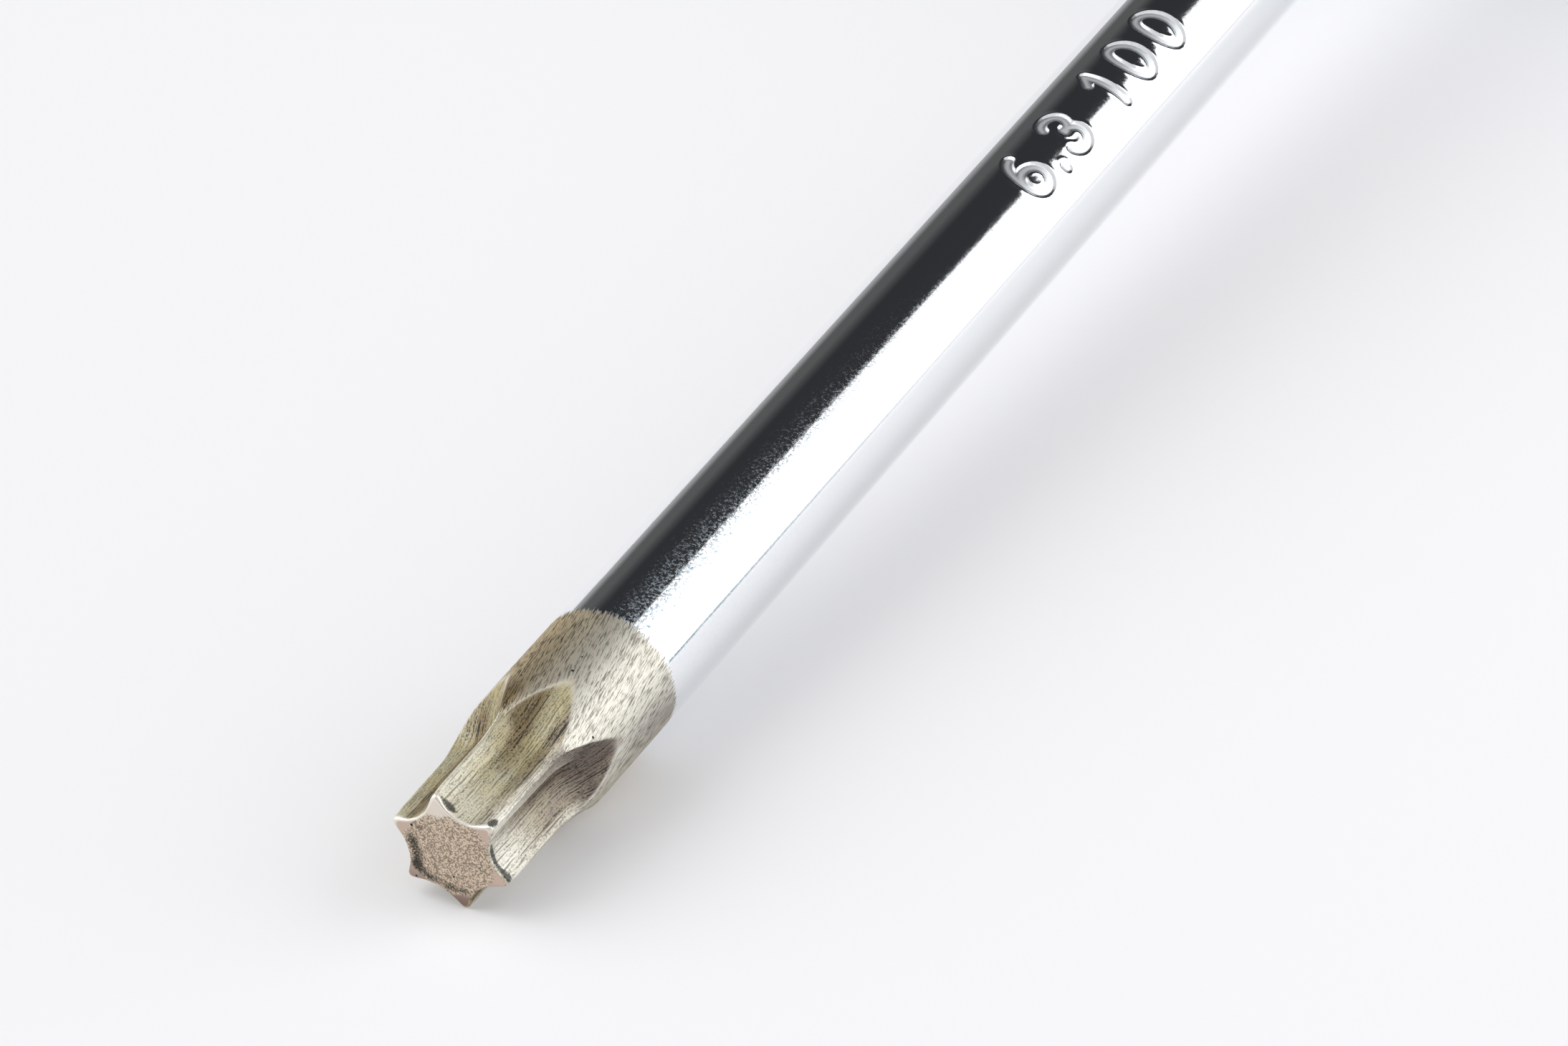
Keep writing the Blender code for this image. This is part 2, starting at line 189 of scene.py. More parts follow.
# Soft pads
PADS = 6
PAD_FLOOR = 11.3
PAD_HALF_WIDTH = 5.33
PAD_MARGIN = 3.0
PAD_PROUD = 0.25
PAD_FILL = 0.985  # share of its outline that a pad fills
PAD_ROUND = 0.9  # rounded edge of a pad
PAD_RIB_PITCH = 3.4
PAD_RIB_DEPTH = 0.5
POCKET_DEPTH = 1.4
POCKET_LIP = 0.7  # rounded edge of the hard plastic round a pad

# Soft ring
RING_SCALLOPS = 20
RING_SCALLOP_DEPTH = 0.5

# End cap and disc
HOLE_PLACE = 197.75
HOLE_RADIUS = 4.0
HOLE_ROUND = 0.7  # rounded mouth of the hanging hole
DISC_RADIUS = 6.5
DISC_GAP = 0.15
DISC_FRONT = 205.05
DISC_REAR = 206.45
RECESS_FLOOR = 204.75
BADGE_RADIUS = 3.6
BADGE_WAVE = 0.18
BADGE_HEIGHT = 0.25

# Camera, as the photograph was taken
CAMERA_FROM_TIP = np.array((-207.19, -124.08, 159.07))
CAMERA_HEADING = math.radians(27.73)
CAMERA_DIP = math.radians(30.79)
CAMERA_LENS = 164.5
CAMERA_SENSOR = 36.0


def smooth(share):
    """Eases from 0 to 1, level at both ends."""
    share = np.clip(share, 0.0, 1.0)
    return share * share * (3.0 - 2.0 * share)


def softly(low, high, blur):
    """The lesser of two surfaces, with the edge where they meet rounded over about the width blur."""
    return 0.5 * (low + high - np.sqrt((low - high) ** 2 + blur**2))


def bell(share):
    """Bell curve: 1 in the middle, about a third at a share of 1, and soon next to nothing."""
    return np.exp(-(share**2))


def wobble(u, v, size, seed):
    """Even, repeatable unevenness between about -1 and 1: a few sine waves of mixed direction, size long."""
    draw = np.random.default_rng(seed)
    total = 0.0
    for _ in range(7):
        turn, phase, stretch = draw.random(3)
        wave = 2.0 * math.pi / (size * (0.6 + 0.9 * stretch))
        total = total + np.sin(wave * (u * math.cos(6.3 * turn) + v * math.sin(6.3 * turn)) + 6.3 * phase)
    return total / 3.5


def full_turn(count):
    """Even angles all round the tool."""
    return np.arange(count) / count * 2.0 * math.pi


def around(x, radius, angle):
    """Points at a radius and an angle round the tool's axis, as one array along the tool's own axes."""
    x, radius, angle = np.broadcast_arrays(x, radius, angle)
    return np.stack([x, radius * np.cos(angle), radius * np.sin(angle)], axis=-1)


def join_rows(index, closed=False):
    """Quads of a grid whose columns close round the piece; closed joins the last row to the first as well."""
    rows = np.concatenate([index, index[:1]]) if closed else index
    after = np.roll(rows, -1, axis=1)
    return np.stack([rows[:-1], after[:-1], after[1:], rows[1:]], axis=-1).reshape(-1, 4).tolist()


def fan(ring, pole):
    """Triangles from a ring's edges to a pole. They face the butt, or the tip if the ring runs backwards."""
    return np.stack([ring, np.roll(ring, -1), np.full(len(ring), pole)], axis=-1).tolist()


def zip_rings(near, near_angle, far, far_angle):
    """Triangles between two rings of unlike counts: each edge reaches across to the point that is level with
    its middle on the other ring."""
    near_middle = near_angle + np.diff(near_angle, append=near_angle[0] + 2 * math.pi) / 2
    far_middle = far_angle + np.diff(far_angle, append=far_angle[0] + 2 * math.pi) / 2
    far_apex = far[np.searchsorted(far_middle, near_middle) % len(far)]
    near_apex = near[np.searchsorted(near_middle, far_middle) % len(near)]
    first = np.stack([near, np.roll(near, -1), far_apex], axis=-1)
    second = np.stack([np.roll(far, -1), far, near_apex], axis=-1)
    return np.concatenate([first, second]).tolist()


def number_points(rings, first=0):
    """Numbers of the points in a grid of rings, counted from first, row by row."""
    return first + np.arange(rings.shape[0] * rings.shape[1]).reshape(rings.shape[:2])


def tube(rings):
    """Points and faces of a closed piece through a grid of rings, with a fan of triangles at each end."""
    index = number_points(rings)
    points = np.concatenate([rings.reshape(-1, 3), rings[[0, -1]].mean(axis=1)])
    return points, join_rows(index) + fan(index[0][::-1], index.size) + fan(index[-1], index.size + 1)


def make_mesh(name, points, faces, sharp_degrees):
    """A smooth-shaded mesh of points along the tool's own axes, turned into the frame."""
    mesh = bpy.data.meshes.new(name)
    placed = TIP + MM * (points @ np.stack([AXIS, SIDE, UP]))
    mesh.from_pydata(placed.tolist(), [], faces)
    mesh.update()
    mesh.shade_smooth()
    mesh.set_sharp_from_angle(angle=math.radians(sharp_degrees))
    return mesh


def add_piece(name, shape, sharp_degrees, material, slot, *nodes):
    """Puts a shape's points and faces in the scene as a piece of the tool that stands for CAD nodes."""
    mesh = make_mesh(name, *shape, sharp_degrees)
    made = bpy.data.objects.new(name, mesh)
    bpy.context.scene.collection.objects.link(made)
    mesh.materials.append(material)
    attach(made, "root")
    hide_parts(*nodes)
    return made


def mark(mesh, name, values):
    """Stores one number for each point, for the material to read."""
    attribute = mesh.attributes.new(name, "FLOAT", "POINT")
    attribute.data.foreach_set("value", np.asarray(values, dtype=np.float32).ravel())


# Shapes of the blade


def turned_radius(x):
    """Radius of the tip before its flutes are cut: level over the lobes, then eased out to the shaft."""
    return LOBE_RADIUS + smooth((x - LOBE_LENGTH) / (TAPER_END - LOBE_LENGTH)) * (SHAFT_RADIUS - LOBE_RADIUS)


def flute_centre(x):
    """Distance from the axis to the centre of a flute's circle, which begins to rise gently and leaves the
    shaft by a power curve."""
    share = np.maximum(softly(1.0, (FLUTE_END - x) / (FLUTE_END - FLUTE_FULL), FLUTE_EASE), 0.0)
    lift = (1.0 - share**FLUTE_RISE_POWER) * (SHAFT_RADIUS - FLUTE_RADIUS)
    return FLUTE_DISTANCE + lift + np.maximum(x - FLUTE_END, 0.0)


def flute_wall(x, offset):
    """Radius at which a ray from the axis, turned by offset from the middle of a flute, meets its circle."""
    centre = flute_centre(x)
    across = np.maximum(FLUTE_CIRCLE**2 - (centre * np.sin(offset)) ** 2, 0.0)
    return centre * np.cos(offset) - np.sqrt(across)


def flute_half_angle(x):
    """Half the angle that a flute takes on the turned surface, where its circle crosses that radius."""
    centre = flute_centre(x)
    radius = turned_radius(x)
    cosine = (radius**2 + centre**2 - FLUTE_CIRCLE**2) / (2.0 * radius * centre)
    return np.arccos(np.clip(cosine, -1.0, 1.0))


def tip_columns(x, share):
    """Angle from the middle of a flute for a share of its sector, -1 to 1. Columns gather along the flute's
    edges, and spread evenly again where the flutes have run out."""
    flute_share = 0.62
    gathering = 1.5
    edge = np.clip(flute_half_angle(x), math.radians(7.0), math.radians(29.0))
    size = np.abs(share)
    inside = edge * (1.0 - (1.0 - np.clip(size / flute_share, 0.0, 1.0)) ** gathering)
    past_edge = np.clip((size - flute_share) / (1.0 - flute_share), 0.0, 1.0)
    gathered = inside + (SECTOR / 2 - edge) * past_edge**gathering
    evenly = smooth((x - FLUTE_END - 0.3) / 2.0)
    return np.sign(share) * (gathered + evenly * (size * SECTOR / 2 - gathered))


def face_place(radius):
    """Place of the end face along the axis: flat, then eased into the slope of the lobes' ends."""
    beyond = radius - FACE_RADIUS
    return FACE_FRONT + 0.5 * FACE_SLOPE * (beyond + np.sqrt(beyond**2 + FACE_EASE**2))


def on_lobe(radius):
    """Share of a lobe's end at a radius of the end face: none in the flutes, all of it towards the crest."""
    return smooth((radius - LOBE_FOOT) / 0.5)


def worn_rim(offset):
    """Radius of the end face's outline: the tip's section, averaged over a small angle to wear its corners
    round, with the lobes drawn out again by as much as the averaging shortened them."""
    count = 240
    even = np.arange(count) / count * SECTOR - SECTOR / 2
    section = softly(LOBE_RADIUS, flute_wall(0.0 * even, even), EDGE_ROUND)
    weight = np.exp(-0.5 * (even / LOBE_WEAR) ** 2)
    spread = np.fft.fft(np.fft.ifftshift(weight / weight.sum()))
    worn_and_highlit = np.real(np.fft.ifft(np.fft.fft(section) * spread))
    return np.interp(offset, even, worn_and_highlit + LOBE_DRAWN_OUT * on_lobe(worn_and_highlit), period=SECTOR)


def spots(along, sideways, table):
    """Soft spots that add up: each has a place, a length, a width and a strength, and is a bell curve."""
    total = 0.0
    for place, side, length, width, strength in table:
        total = total + strength * bell((along - place) / length) * bell(sideways(side) / width)
    return total


def tip_surface():
    """Grid of the fluted tip, and its marks: rows run from the middle of the end face over its worn rim and
    back along the side. Each point of the side is at the lesser of the turned radius and the flute's wall."""
    per_sector = 56
    columns = LOBES * per_sector
    share = np.tile(-1.0 + 2.0 * np.arange(per_sector) / per_sector, LOBES)
    middle = TIP_ROLL + SECTOR * (0.5 + np.repeat(np.arange(LOBES), per_sector))

    # End face, with a nicked rim that is rounded most on the lobes
    offset = tip_columns(np.zeros(columns), share)
    rim_angle = middle + offset
    nicks = 1.0 + wobble(3.0 * np.cos(rim_angle), 3.0 * np.sin(rim_angle), 0.5, 4)
    rim = worn_rim(offset) - RIM_NICK * nicks
    rounding = RIM_ROUND * (1.0 + 1.8 * on_lobe(rim))
    inner = rim - rounding
    spread = np.concatenate([np.linspace(0.04, 0.7, 9), np.linspace(0.76, 1.0, 8)])[:, None]
    face_radius = spread * inner
    turn = np.linspace(0.0, math.pi / 2, 6)[1:, None]
    round_radius = inner + rounding * np.sin(turn)
    round_x = face_place(inner) + rounding * (1.0 - np.cos(turn))
    front_rows = len(spread) + len(turn)

    # Side, in fine rows along the flutes and coarser ones behind them, settling to the worn rim at the front
    start = face_place(inner) + rounding
    fine = start + np.linspace(0.0, 1.0, 128)[1:, None] * (FINE_ROWS_END - start)
    coarse = np.linspace(FINE_ROWS_END, TIP_ROWS_END, 22)[1:, None]
    side_x = np.concatenate([fine, np.broadcast_to(coarse, (len(coarse), columns))])
    side_offset = tip_columns(side_x, share)
    turned = turned_radius(side_x)
    wall = flute_wall(side_x, side_offset)
    side_radius = softly(turned, wall, EDGE_ROUND)
    settle = 1.0 - smooth((side_x - start) / 0.7)
    side_radius = side_radius + settle * (rim - side_radius[0])

    x = np.concatenate([face_place(face_radius), round_x, side_x])
    radius = np.concatenate([face_radius, round_radius, side_radius])
    angle = middle + np.concatenate([np.broadcast_to(offset, (front_rows, columns)), side_offset])
    rings = around(x, radius, angle)
    width = rings[..., 1]
    height = rings[..., 2]

    def arc_from(degrees):
        return radius * ((angle - math.radians(degrees) + math.pi) % (2.0 * math.pi) - math.pi)

    def height_from(place):
        return height - place

    # Painted highlights on the edges, where light falls on them: weaker along the lobes and on the low side,
    # clearest on the rim of the upper lobes
    on_front = np.zeros((front_rows, columns))
    low_edges = smooth(-side_offset / 0.1) * smooth((-1.5 - width[front_rows:]) / 0.8)
    edge_highlight_fade = 1.0 - 0.85 * smooth((side_x - 1.2) / 2.5) * smooth((6.0 - side_x) / 0.6)
    edge_highlight_fade = edge_highlight_fade * (1.0 - 0.9 * low_edges * smooth(side_x - 4.5))
    flute_edge_highlights = 0.5 * edge_highlight_fade * bell((turned - wall) / 0.05) * smooth((FLUTE_END + 0.2 - side_x) / 0.6)
    lit_rim = smooth((np.cos(rim_angle - math.radians(TOP_LOBE_DEGREES)) - 0.40) / 0.1)
    edge_highlights = np.concatenate([on_front, np.maximum(flute_edge_highlights, lit_rim * bell((side_x - start) / 0.06))])
    edge_highlights[len(spread) - 1 : front_rows] = lit_rim

    # Parts of the tip, and the dirt, stains and painted shade on them
    is_face = np.zeros_like(x)
    is_face[: len(spread)] = 1.0
    is_face[len(spread) : front_rows] = 1.0 - np.sin(turn)
    near_top = bell(arc_from(TOP_LOBE_DEGREES) / (0.5 * radius))
    uneven = 0.02 + 0.08 * wobble(width, height, 0.9, 7)
    inside_flute = np.maximum(smooth((turned - wall) / 0.08 + 0.5), smooth((CREST_END - side_x) / 0.3))
    in_flute = np.concatenate([on_front, inside_flute])
    face_dirt = spots(width, height_from, FACE_DIRT)
    stains_and_shade = in_flute * spots(x, arc_from, FLUTE_STAINS_AND_SHADE) + (1.0 - in_flute) * spots(x, arc_from, LAND_STAINS)
    marks = {
        "face": is_face,
        "bevel": is_face * smooth((radius - 2.0 + 0.28 * near_top + uneven) / 0.15),
        "top": is_face * near_top,
        "flute": in_flute,
        "edge": edge_highlights,
        "across": np.concatenate([on_front, side_radius * np.sin(side_offset)]),
        "dirt": is_face * face_dirt + (1.0 - is_face) * spots(x, arc_from, SIDE_DIRT),
        "stain_and_shade": (1.0 - is_face) * stains_and_shade,
    }
    return rings, marks


def arc(centre_x, centre_y, wide, high, start, end):
    """Points along part of an ellipse, in shares of a figure's width and height."""
    turn = np.radians(np.linspace(start, end, 25))
    return np.stack([centre_x + wide * np.cos(turn), centre_y + high * np.sin(turn)], axis=-1)


FIGURE_STROKES = {
    "0": [arc(0.5, 0.5, 0.5, 0.5, 0, 360)],
    "1": [np.array(((0.15, 0.78), (0.55, 1.0))), np.array(((0.55, 1.0), (0.55, 0.0)))],
    "3": [arc(0.45, 0.75, 0.45, 0.25, 155, -90), arc(0.45, 0.27, 0.5, 0.27, 90, -155)],
    "6": [arc(0.5, 0.3, 0.5, 0.3, 0, 360), arc(0.85, 0.3, 0.85, 0.7, 180, 96)],
    ".": [np.array(((0.5, 0.0), (0.5, 0.04)))],
}


def stamp_distance(along, upward):
    """Distance from points on the shaft to the nearest stroke of the stamped figures: each stroke is a run of
    short straight pieces, and the distance to a piece is measured to its nearest point."""
    nearest = np.full(along.shape, 9.0)
    box = np.array((STAMP_WIDTH, STAMP_HEIGHT))
    for figure, place in STAMP_PLACES:
        for stroke in FIGURE_STROKES[figure]:
            line = stroke * box + np.array((STAMP_START + place, -STAMP_HEIGHT / 2))
            for begin, step in zip(line[:-1], np.diff(line, axis=0)):
                out_x = along - begin[0]
                out_y = upward - begin[1]
                share = np.clip((out_x * step[0] + out_y * step[1]) / (step @ step), 0.0, 1.0)
                nearest = np.minimum(nearest, np.hypot(out_x - share * step[0], out_y - share * step[1]))
    return nearest


def shaft_surface():
    """Grid of the round shaft with its stamped figures: columns crowd together round the stamp and rows along
    it. A stroke is a rounded dent with a low lip of pushed-up metal."""
    columns = 132
    fine = np.linspace(0.0, 2.0 * math.pi, 2001)
    crowding = 1.0 + 7.0 * np.exp(-(((fine - STAMP_MIDDLE) / math.radians(30.0)) ** 6))
    amount = np.concatenate([[0.0], np.cumsum((crowding[1:] + crowding[:-1]) / 2)])
    angle = np.interp(np.arange(columns) / columns * amount[-1], amount, fine)
    before = np.linspace(SHAFT_ROWS_START, STAMP_ROWS_START, 18)
    beside = np.linspace(STAMP_ROWS_START, STAMP_ROWS_END, 236)[1:]
    behind = np.linspace(STAMP_ROWS_END, SHAFT_HIDDEN_END, 20)[1:]
    x = np.concatenate([before, beside, behind])[:, None]
    upward = (STAMP_MIDDLE - angle) * SHAFT_RADIUS
    distance = stamp_distance(*np.broadcast_arrays(x, upward))
    dent = 1.0 - smooth((distance / STAMP_STROKE - 0.55) / 0.45)
    lip = bell((distance / STAMP_STROKE - 1.15) / 0.35)
    rings = around(x, SHAFT_RADIUS - STAMP_DEPTH * dent + STAMP_LIP * lip, angle)
    return rings, angle, 1.0 - smooth(distance / (1.2 * STAMP_STROKE))


def make_blade(material):
    """One bar: the grids of the tip and of the shaft zipped together, closed at the end face and inside the
    handle."""
    tip, marks = tip_surface()
    shaft, shaft_angle, stamp = shaft_surface()
    tip_index = number_points(tip)
    shaft_index = number_points(shaft, tip_index.size)
    tip_angle = np.arctan2(tip[-1, :, 2], tip[-1, :, 1]) % (2.0 * math.pi)
    order = np.argsort(tip_angle)
    poles = np.stack([tip[0].mean(axis=0), shaft[-1].mean(axis=0)])
    points = np.concatenate([tip.reshape(-1, 3), shaft.reshape(-1, 3), poles])
    faces = join_rows(tip_index) + join_rows(shaft_index)
    faces += zip_rings(tip_index[-1][order], tip_angle[order], shaft_index[0], shaft_angle)
    faces += fan(tip_index[0][::-1], len(points) - 2) + fan(shaft_index[-1], len(points) - 1)
    blade = add_piece("blade_bar", (points, faces), 40.0, material, "blade_steel", "blade")
    for name, values in marks.items():
        ends = [values[0, 0], 0.0]
        mark(blade.data, name, np.concatenate([values.ravel(), np.zeros(shaft_index.size), ends]))
    mark(blade.data, "stamp", np.concatenate([np.zeros(tip_index.size), stamp.ravel(), np.zeros(2)]))


# Shapes of the handle


def handle_radius(x):
    """Mean radius of the handle: eased between its stations, then closing to the butt by a power curve."""
    radius = np.full_like(x, STATION_RADII[0])
    steps = zip(STATION_PLACES, STATION_PLACES[1:], np.diff(STATION_RADII))
    for start, end, rise in steps:
        radius = radius + rise * smooth((x - start) / (end - start))
    share = np.clip((x - PALM_PEAK) / (BUTT - PALM_PEAK), 0.0, 1.0)
    return radius - (STATION_RADII[-1] - BUTT_RADIUS) * share**HEEL_POWER


def handle_form(x, angle):
    """Radius of the handle at an angle: round at the nose, swelling to six low ridges from the guard on."""
    swell = HEX_DEPTH * smooth((x - RING_REAR) / (GUARD_PEAK - RING_REAR))
    return handle_radius(x) * (1.0 + swell * np.cos(PADS * angle))


def pad_outline_depth(x, across):
    """How far a place lies inside a pad's outline, a straight band with half-round ends; negative outside."""
    first = GUARD_PEAK + PAD_MARGIN + PAD_HALF_WIDTH
    last = CAP_FRONT - PAD_MARGIN - PAD_HALF_WIDTH
    return PAD_HALF_WIDTH - np.hypot(x - np.clip(x, first, last), across)


def rounded_end(place, depth):
    """Rows of a rounded edge that faces the butt: x runs over a quarter turn up to place, and drop is how far
    the edge falls."""
    turn = np.linspace(0.0, math.pi / 2, 6)
    return place - depth * (1.0 - np.sin(turn)), depth * (1.0 - np.cos(turn))


def rounded_run(front, rear, front_round, rear_round, count):
    """Rows of a stretch of the handle whose two ends are rounded: x, and drop, how far the surface falls
    there. The front end is a rear end turned about."""
    front_x, front_drop = rounded_end(-front, front_round)
    rear_x, rear_drop = rounded_end(rear, rear_round)
    run = np.linspace(front + front_round, rear - rear_round, count)[1:-1]
    x = np.concatenate([-front_x[::-1], run, rear_x])
    drop = np.concatenate([front_drop[::-1], 0.0 * run, rear_drop])
    return x[:, None], drop[:, None]


def plain_rings(angle, *places):
    """Grid of rings about the axis, each at an x and a radius."""
    return np.stack([around(x, radius, angle) for x, radius in places])


def make_core(material):
    """Hard handle body: the handle's form with rounded ends, sunk under the soft ring, and with a rounded
    pocket round each pad."""
    nose_x, nose_drop = rounded_run(NOSE_FRONT, RING_FRONT, NOSE_FILLET, SEAM_ROUND, 24)
    grip_x, grip_drop = rounded_run(RING_REAR, CAP_FRONT, SEAM_ROUND, SEAM_ROUND, 206)
    x = np.concatenate([nose_x, grip_x])
    angle = full_turn(384)
    form = handle_form(x, angle) - np.concatenate([nose_drop, grip_drop])
    sector = (angle - math.pi / 2 + math.pi / PADS) % (2.0 * math.pi / PADS) - math.pi / PADS
    inside = pad_outline_depth(x, form * np.sin(sector))
    form = form - POCKET_DEPTH * smooth((inside + POCKET_LIP) / (1.6 * POCKET_LIP)) ** 1.5
    rows = around(x, form, angle)
    bore = SHAFT_RADIUS + BORE_GAP
    mouth = NOSE_FRONT + BORE_CHAMFER
    rings = np.concatenate(
        [
            plain_rings(angle, (NOSE_FRONT + 4.0, bore), (mouth, bore), (NOSE_FRONT, bore + BORE_CHAMFER)),
            rows[: len(nose_x)],
            plain_rings(angle, (RING_FRONT, SEAT_RADIUS), (RING_REAR, SEAT_RADIUS)),
            rows[len(nose_x) :],
            plain_rings(angle, (CAP_FRONT, SPIGOT_RADIUS)),
        ]
    )
    add_piece("core_shell", tube(rings), 50.0, material, "handle_plastic", "handle_core")


def make_ring(material):
    """Soft ring: the handle's form with shallow scallops along it that fade out towards its rounded ends."""
    front = RING_FRONT + RING_GAP
    rear = RING_REAR - RING_GAP
    x, drop = rounded_run(front, rear, SEAM_ROUND, SEAM_ROUND, 70)
    angle = full_turn(RING_SCALLOPS * 20)
    fade = smooth((x - RING_FRONT - 1.2) / 2.2) * smooth((RING_REAR - 1.2 - x) / 2.2)
    scallop = np.abs(np.cos(RING_SCALLOPS * angle / 2)) ** 1.4
    outer = around(x, handle_form(x, angle) - drop - RING_SCALLOP_DEPTH * fade * scallop, angle)
    seat = SEAT_RADIUS + FIT_GAP
    rings = np.concatenate([outer, plain_rings(angle, (rear, seat), (front, seat))])
    shape = (rings.reshape(-1, 3), join_rows(number_points(rings), closed=True))
    add_piece("turning_ring", shape, 50.0, material, "soft_grip", "front_grip_ring")


def pad_rings():
    """Grid of the pad on top of the grip. Each row is a closed section: over the crowned top from one side to
    the other, and back along the flat underside. Cross ribs rise out of the top and fade before its rounded
    edge."""
    first = GUARD_PEAK + PAD_MARGIN
    last = CAP_FRONT - PAD_MARGIN
    bend = np.linspace(0.06, math.pi / 2, 22)
    nose = PAD_HALF_WIDTH * (1.0 - np.cos(bend))
    straight = np.linspace(first + PAD_HALF_WIDTH, last - PAD_HALF_WIDTH, 130)[1:-1]
    x = np.concatenate([first + nose, straight, last - nose[::-1]])[:, None]
    past_straight = x - np.clip(x, first + PAD_HALF_WIDTH, last - PAD_HALF_WIDTH)
    reach = PAD_FILL * np.sqrt(PAD_HALF_WIDTH**2 - past_straight**2)
    across = reach * np.sin(np.linspace(math.pi / 2, -math.pi / 2, 55))
    angle = np.zeros_like(across)
    for _ in range(4):
        radius = handle_form(x, math.pi / 2 + angle)
        angle = np.arcsin(across / radius)
    depth = pad_outline_depth(x, across)
    inside = np.clip(depth, 0.0, PAD_ROUND)
    edge_drop = PAD_ROUND - np.sqrt(PAD_ROUND**2 - (PAD_ROUND - inside) ** 2)
    phase = 2.0 * math.pi * (x - (first + last) / 2) / PAD_RIB_PITCH
    groove = smooth((np.cos(phase) - 0.25) / 0.6) * smooth((depth - 1.5) / 0.9)
    height = radius * np.cos(angle) + PAD_PROUD - edge_drop - PAD_RIB_DEPTH * groove
    under = reach * np.sin(np.linspace(-math.pi / 2, math.pi / 2, 9))
    across = np.concatenate([across, under], axis=1)
    height = np.concatenate([height, np.full_like(under, PAD_FLOOR)], axis=1)
    return np.stack([np.broadcast_to(x, across.shape), across, height], axis=-1)


def make_pads(material):
    """The pad on top, turned about the axis to each side of the grip."""
    top, faces = tube(pad_rings())
    for index in range(PADS):
        turn = 2.0 * math.pi * index / PADS
        turned_y = top[:, 1] * math.cos(turn) - top[:, 2] * math.sin(turn)
        turned_z = top[:, 1] * math.sin(turn) + top[:, 2] * math.cos(turn)
        shape = (np.stack([top[:, 0], turned_y, turned_z], axis=-1), faces)
        add_piece(f"soft_pad_{index + 1}", shape, 60.0, material, "soft_grip", f"grip_pad_{index + 1}")


def hole_cutter():
    """Solid that cuts the hanging hole: a round bar across the cap that flares at both ends, so that the
    mouth is rounded where the bar comes out of the cap's curved side. The bar is turned by half a step, so
    that none of its edges lies on one of the cap's."""
    columns = 96
    turn = full_turn(columns) + math.pi / columns
    ring_x = HOLE_PLACE - HOLE_RADIUS * np.cos(turn)
    ring_z = HOLE_RADIUS * np.sin(turn)
    surface = np.sqrt(handle_form(ring_x, 0.0 * turn) ** 2 - ring_z**2)
    bend = np.linspace(0.0, math.pi / 2, 9)[:, None]
    mouth = np.concatenate([surface - HOLE_ROUND * (1.0 - np.sin(bend)), surface[None] + 2.0])
    flare = np.concatenate([HOLE_ROUND * (1.0 - np.cos(bend)), [[HOLE_ROUND]]])
    y = np.concatenate([-mouth[::-1], mouth])
    radius = HOLE_RADIUS + np.concatenate([flare[::-1], flare])
    rings = np.stack([HOLE_PLACE - radius * np.cos(turn), y, radius * np.sin(turn)], axis=-1)
    cutter = bpy.data.objects.new("hole_cutter", make_mesh("hole_cutter", *tube(rings), 40.0))
    bpy.context.scene.collection.objects.link(cutter)
    return cutter


def make_cap(material):
    """End cap: the handle's form with rounded ends and a round recess in the butt, cut through by the hanging
    hole."""
    front = CAP_FRONT + CAP_GAP
    x, drop = rounded_run(front, BUTT, SEAM_ROUND, BUTT_FILLET, 60)
    angle = full_turn(384)
    recess = DISC_RADIUS + DISC_GAP
    butt_places = (
        (BUTT, recess + 1.0),
        (BUTT, recess + 0.3),
        (BUTT - 0.09, recess + 0.09),
        (BUTT - 0.3, recess),
        (RECESS_FLOOR, recess),
        (RECESS_FLOOR, 3.0),
    )
    rings = np.concatenate(
        [
            plain_rings(angle, (front, 4.0), (front, SPIGOT_RADIUS)),
            around(x, handle_form(x, angle) - drop, angle),
            plain_rings(angle, *butt_places),
        ]
    )
    sharp_degrees = 40.0
    cap = add_piece("rear_cap", tube(rings), sharp_degrees, material, "cap_plastic", "end_cap")
    cutter = hole_cutter()
    cut = cap.modifiers.new("hanging_hole", "BOOLEAN")
    cut.operation = "DIFFERENCE"
    cut.solver = "EXACT"
    cut.object = cutter
    graph = bpy.context.evaluated_depsgraph_get()
    finished = bpy.data.meshes.new_from_object(cap.evaluated_get(graph))
    cap.modifiers.clear()
    cap.data = finished
    finished.shade_smooth()
    finished.set_sharp_from_angle(angle=math.radians(sharp_degrees))
    bpy.data.objects.remove(cutter)


def make_disc(material):
    """Insert in the butt: a flat disc with a rounded rim, a fine ring groove and a raised six-lobed badge."""
    angle = full_turn(240)
    lobed = BADGE_RADIUS * (1.0 + BADGE_WAVE * np.cos(LOBES * angle))
    step = np.linspace(0.0, 1.0, 7)
    groove = 0.12 * np.sin(math.pi * step)
    rise = BADGE_HEIGHT * smooth(step)
    rows = [(DISC_FRONT, 2.0), (DISC_FRONT, DISC_RADIUS)]
    rows += [(x, DISC_RADIUS - drop) for x, drop in zip(*rounded_end(DISC_REAR, 0.3))]
    rows += [(DISC_REAR - sink, 5.75 - 0.45 * share) for share, sink in zip(step, groove)]
    rows += [(DISC_REAR + high, lobed + 0.14 - 0.28 * share) for share, high in zip(step, rise)]
    rows += [(DISC_REAR + BADGE_HEIGHT, 0.5 * lobed)]
    add_piece("size_disc", tube(plain_rings(angle, *rows)), 40.0, material, "disc_plastic", "cap_disc")


# Materials

ATTRIBUTE = "ShaderNodeAttribute"
MATH = "ShaderNodeMath"
MIX = "ShaderNodeMix"
NOISE = "ShaderNodeTexNoise"
RANGE = "ShaderNodeMapRange"  # sockets 0: value, 1 and 2: from these, 3 and 4: to these
SPLIT = "ShaderNodeSeparateXYZ"
VECTOR = "ShaderNodeVectorMath"

# Settings of nodes that recur: Math and Vector Math nodes, and a Mix node that blends colours
TIMES = {"operation": "MULTIPLY"}
TIMES_PLUS = {"operation": "MULTIPLY_ADD"}
LARGER = {"operation": "MAXIMUM"}
COLOURS = {"output": 2, "data_type": "RGBA"}


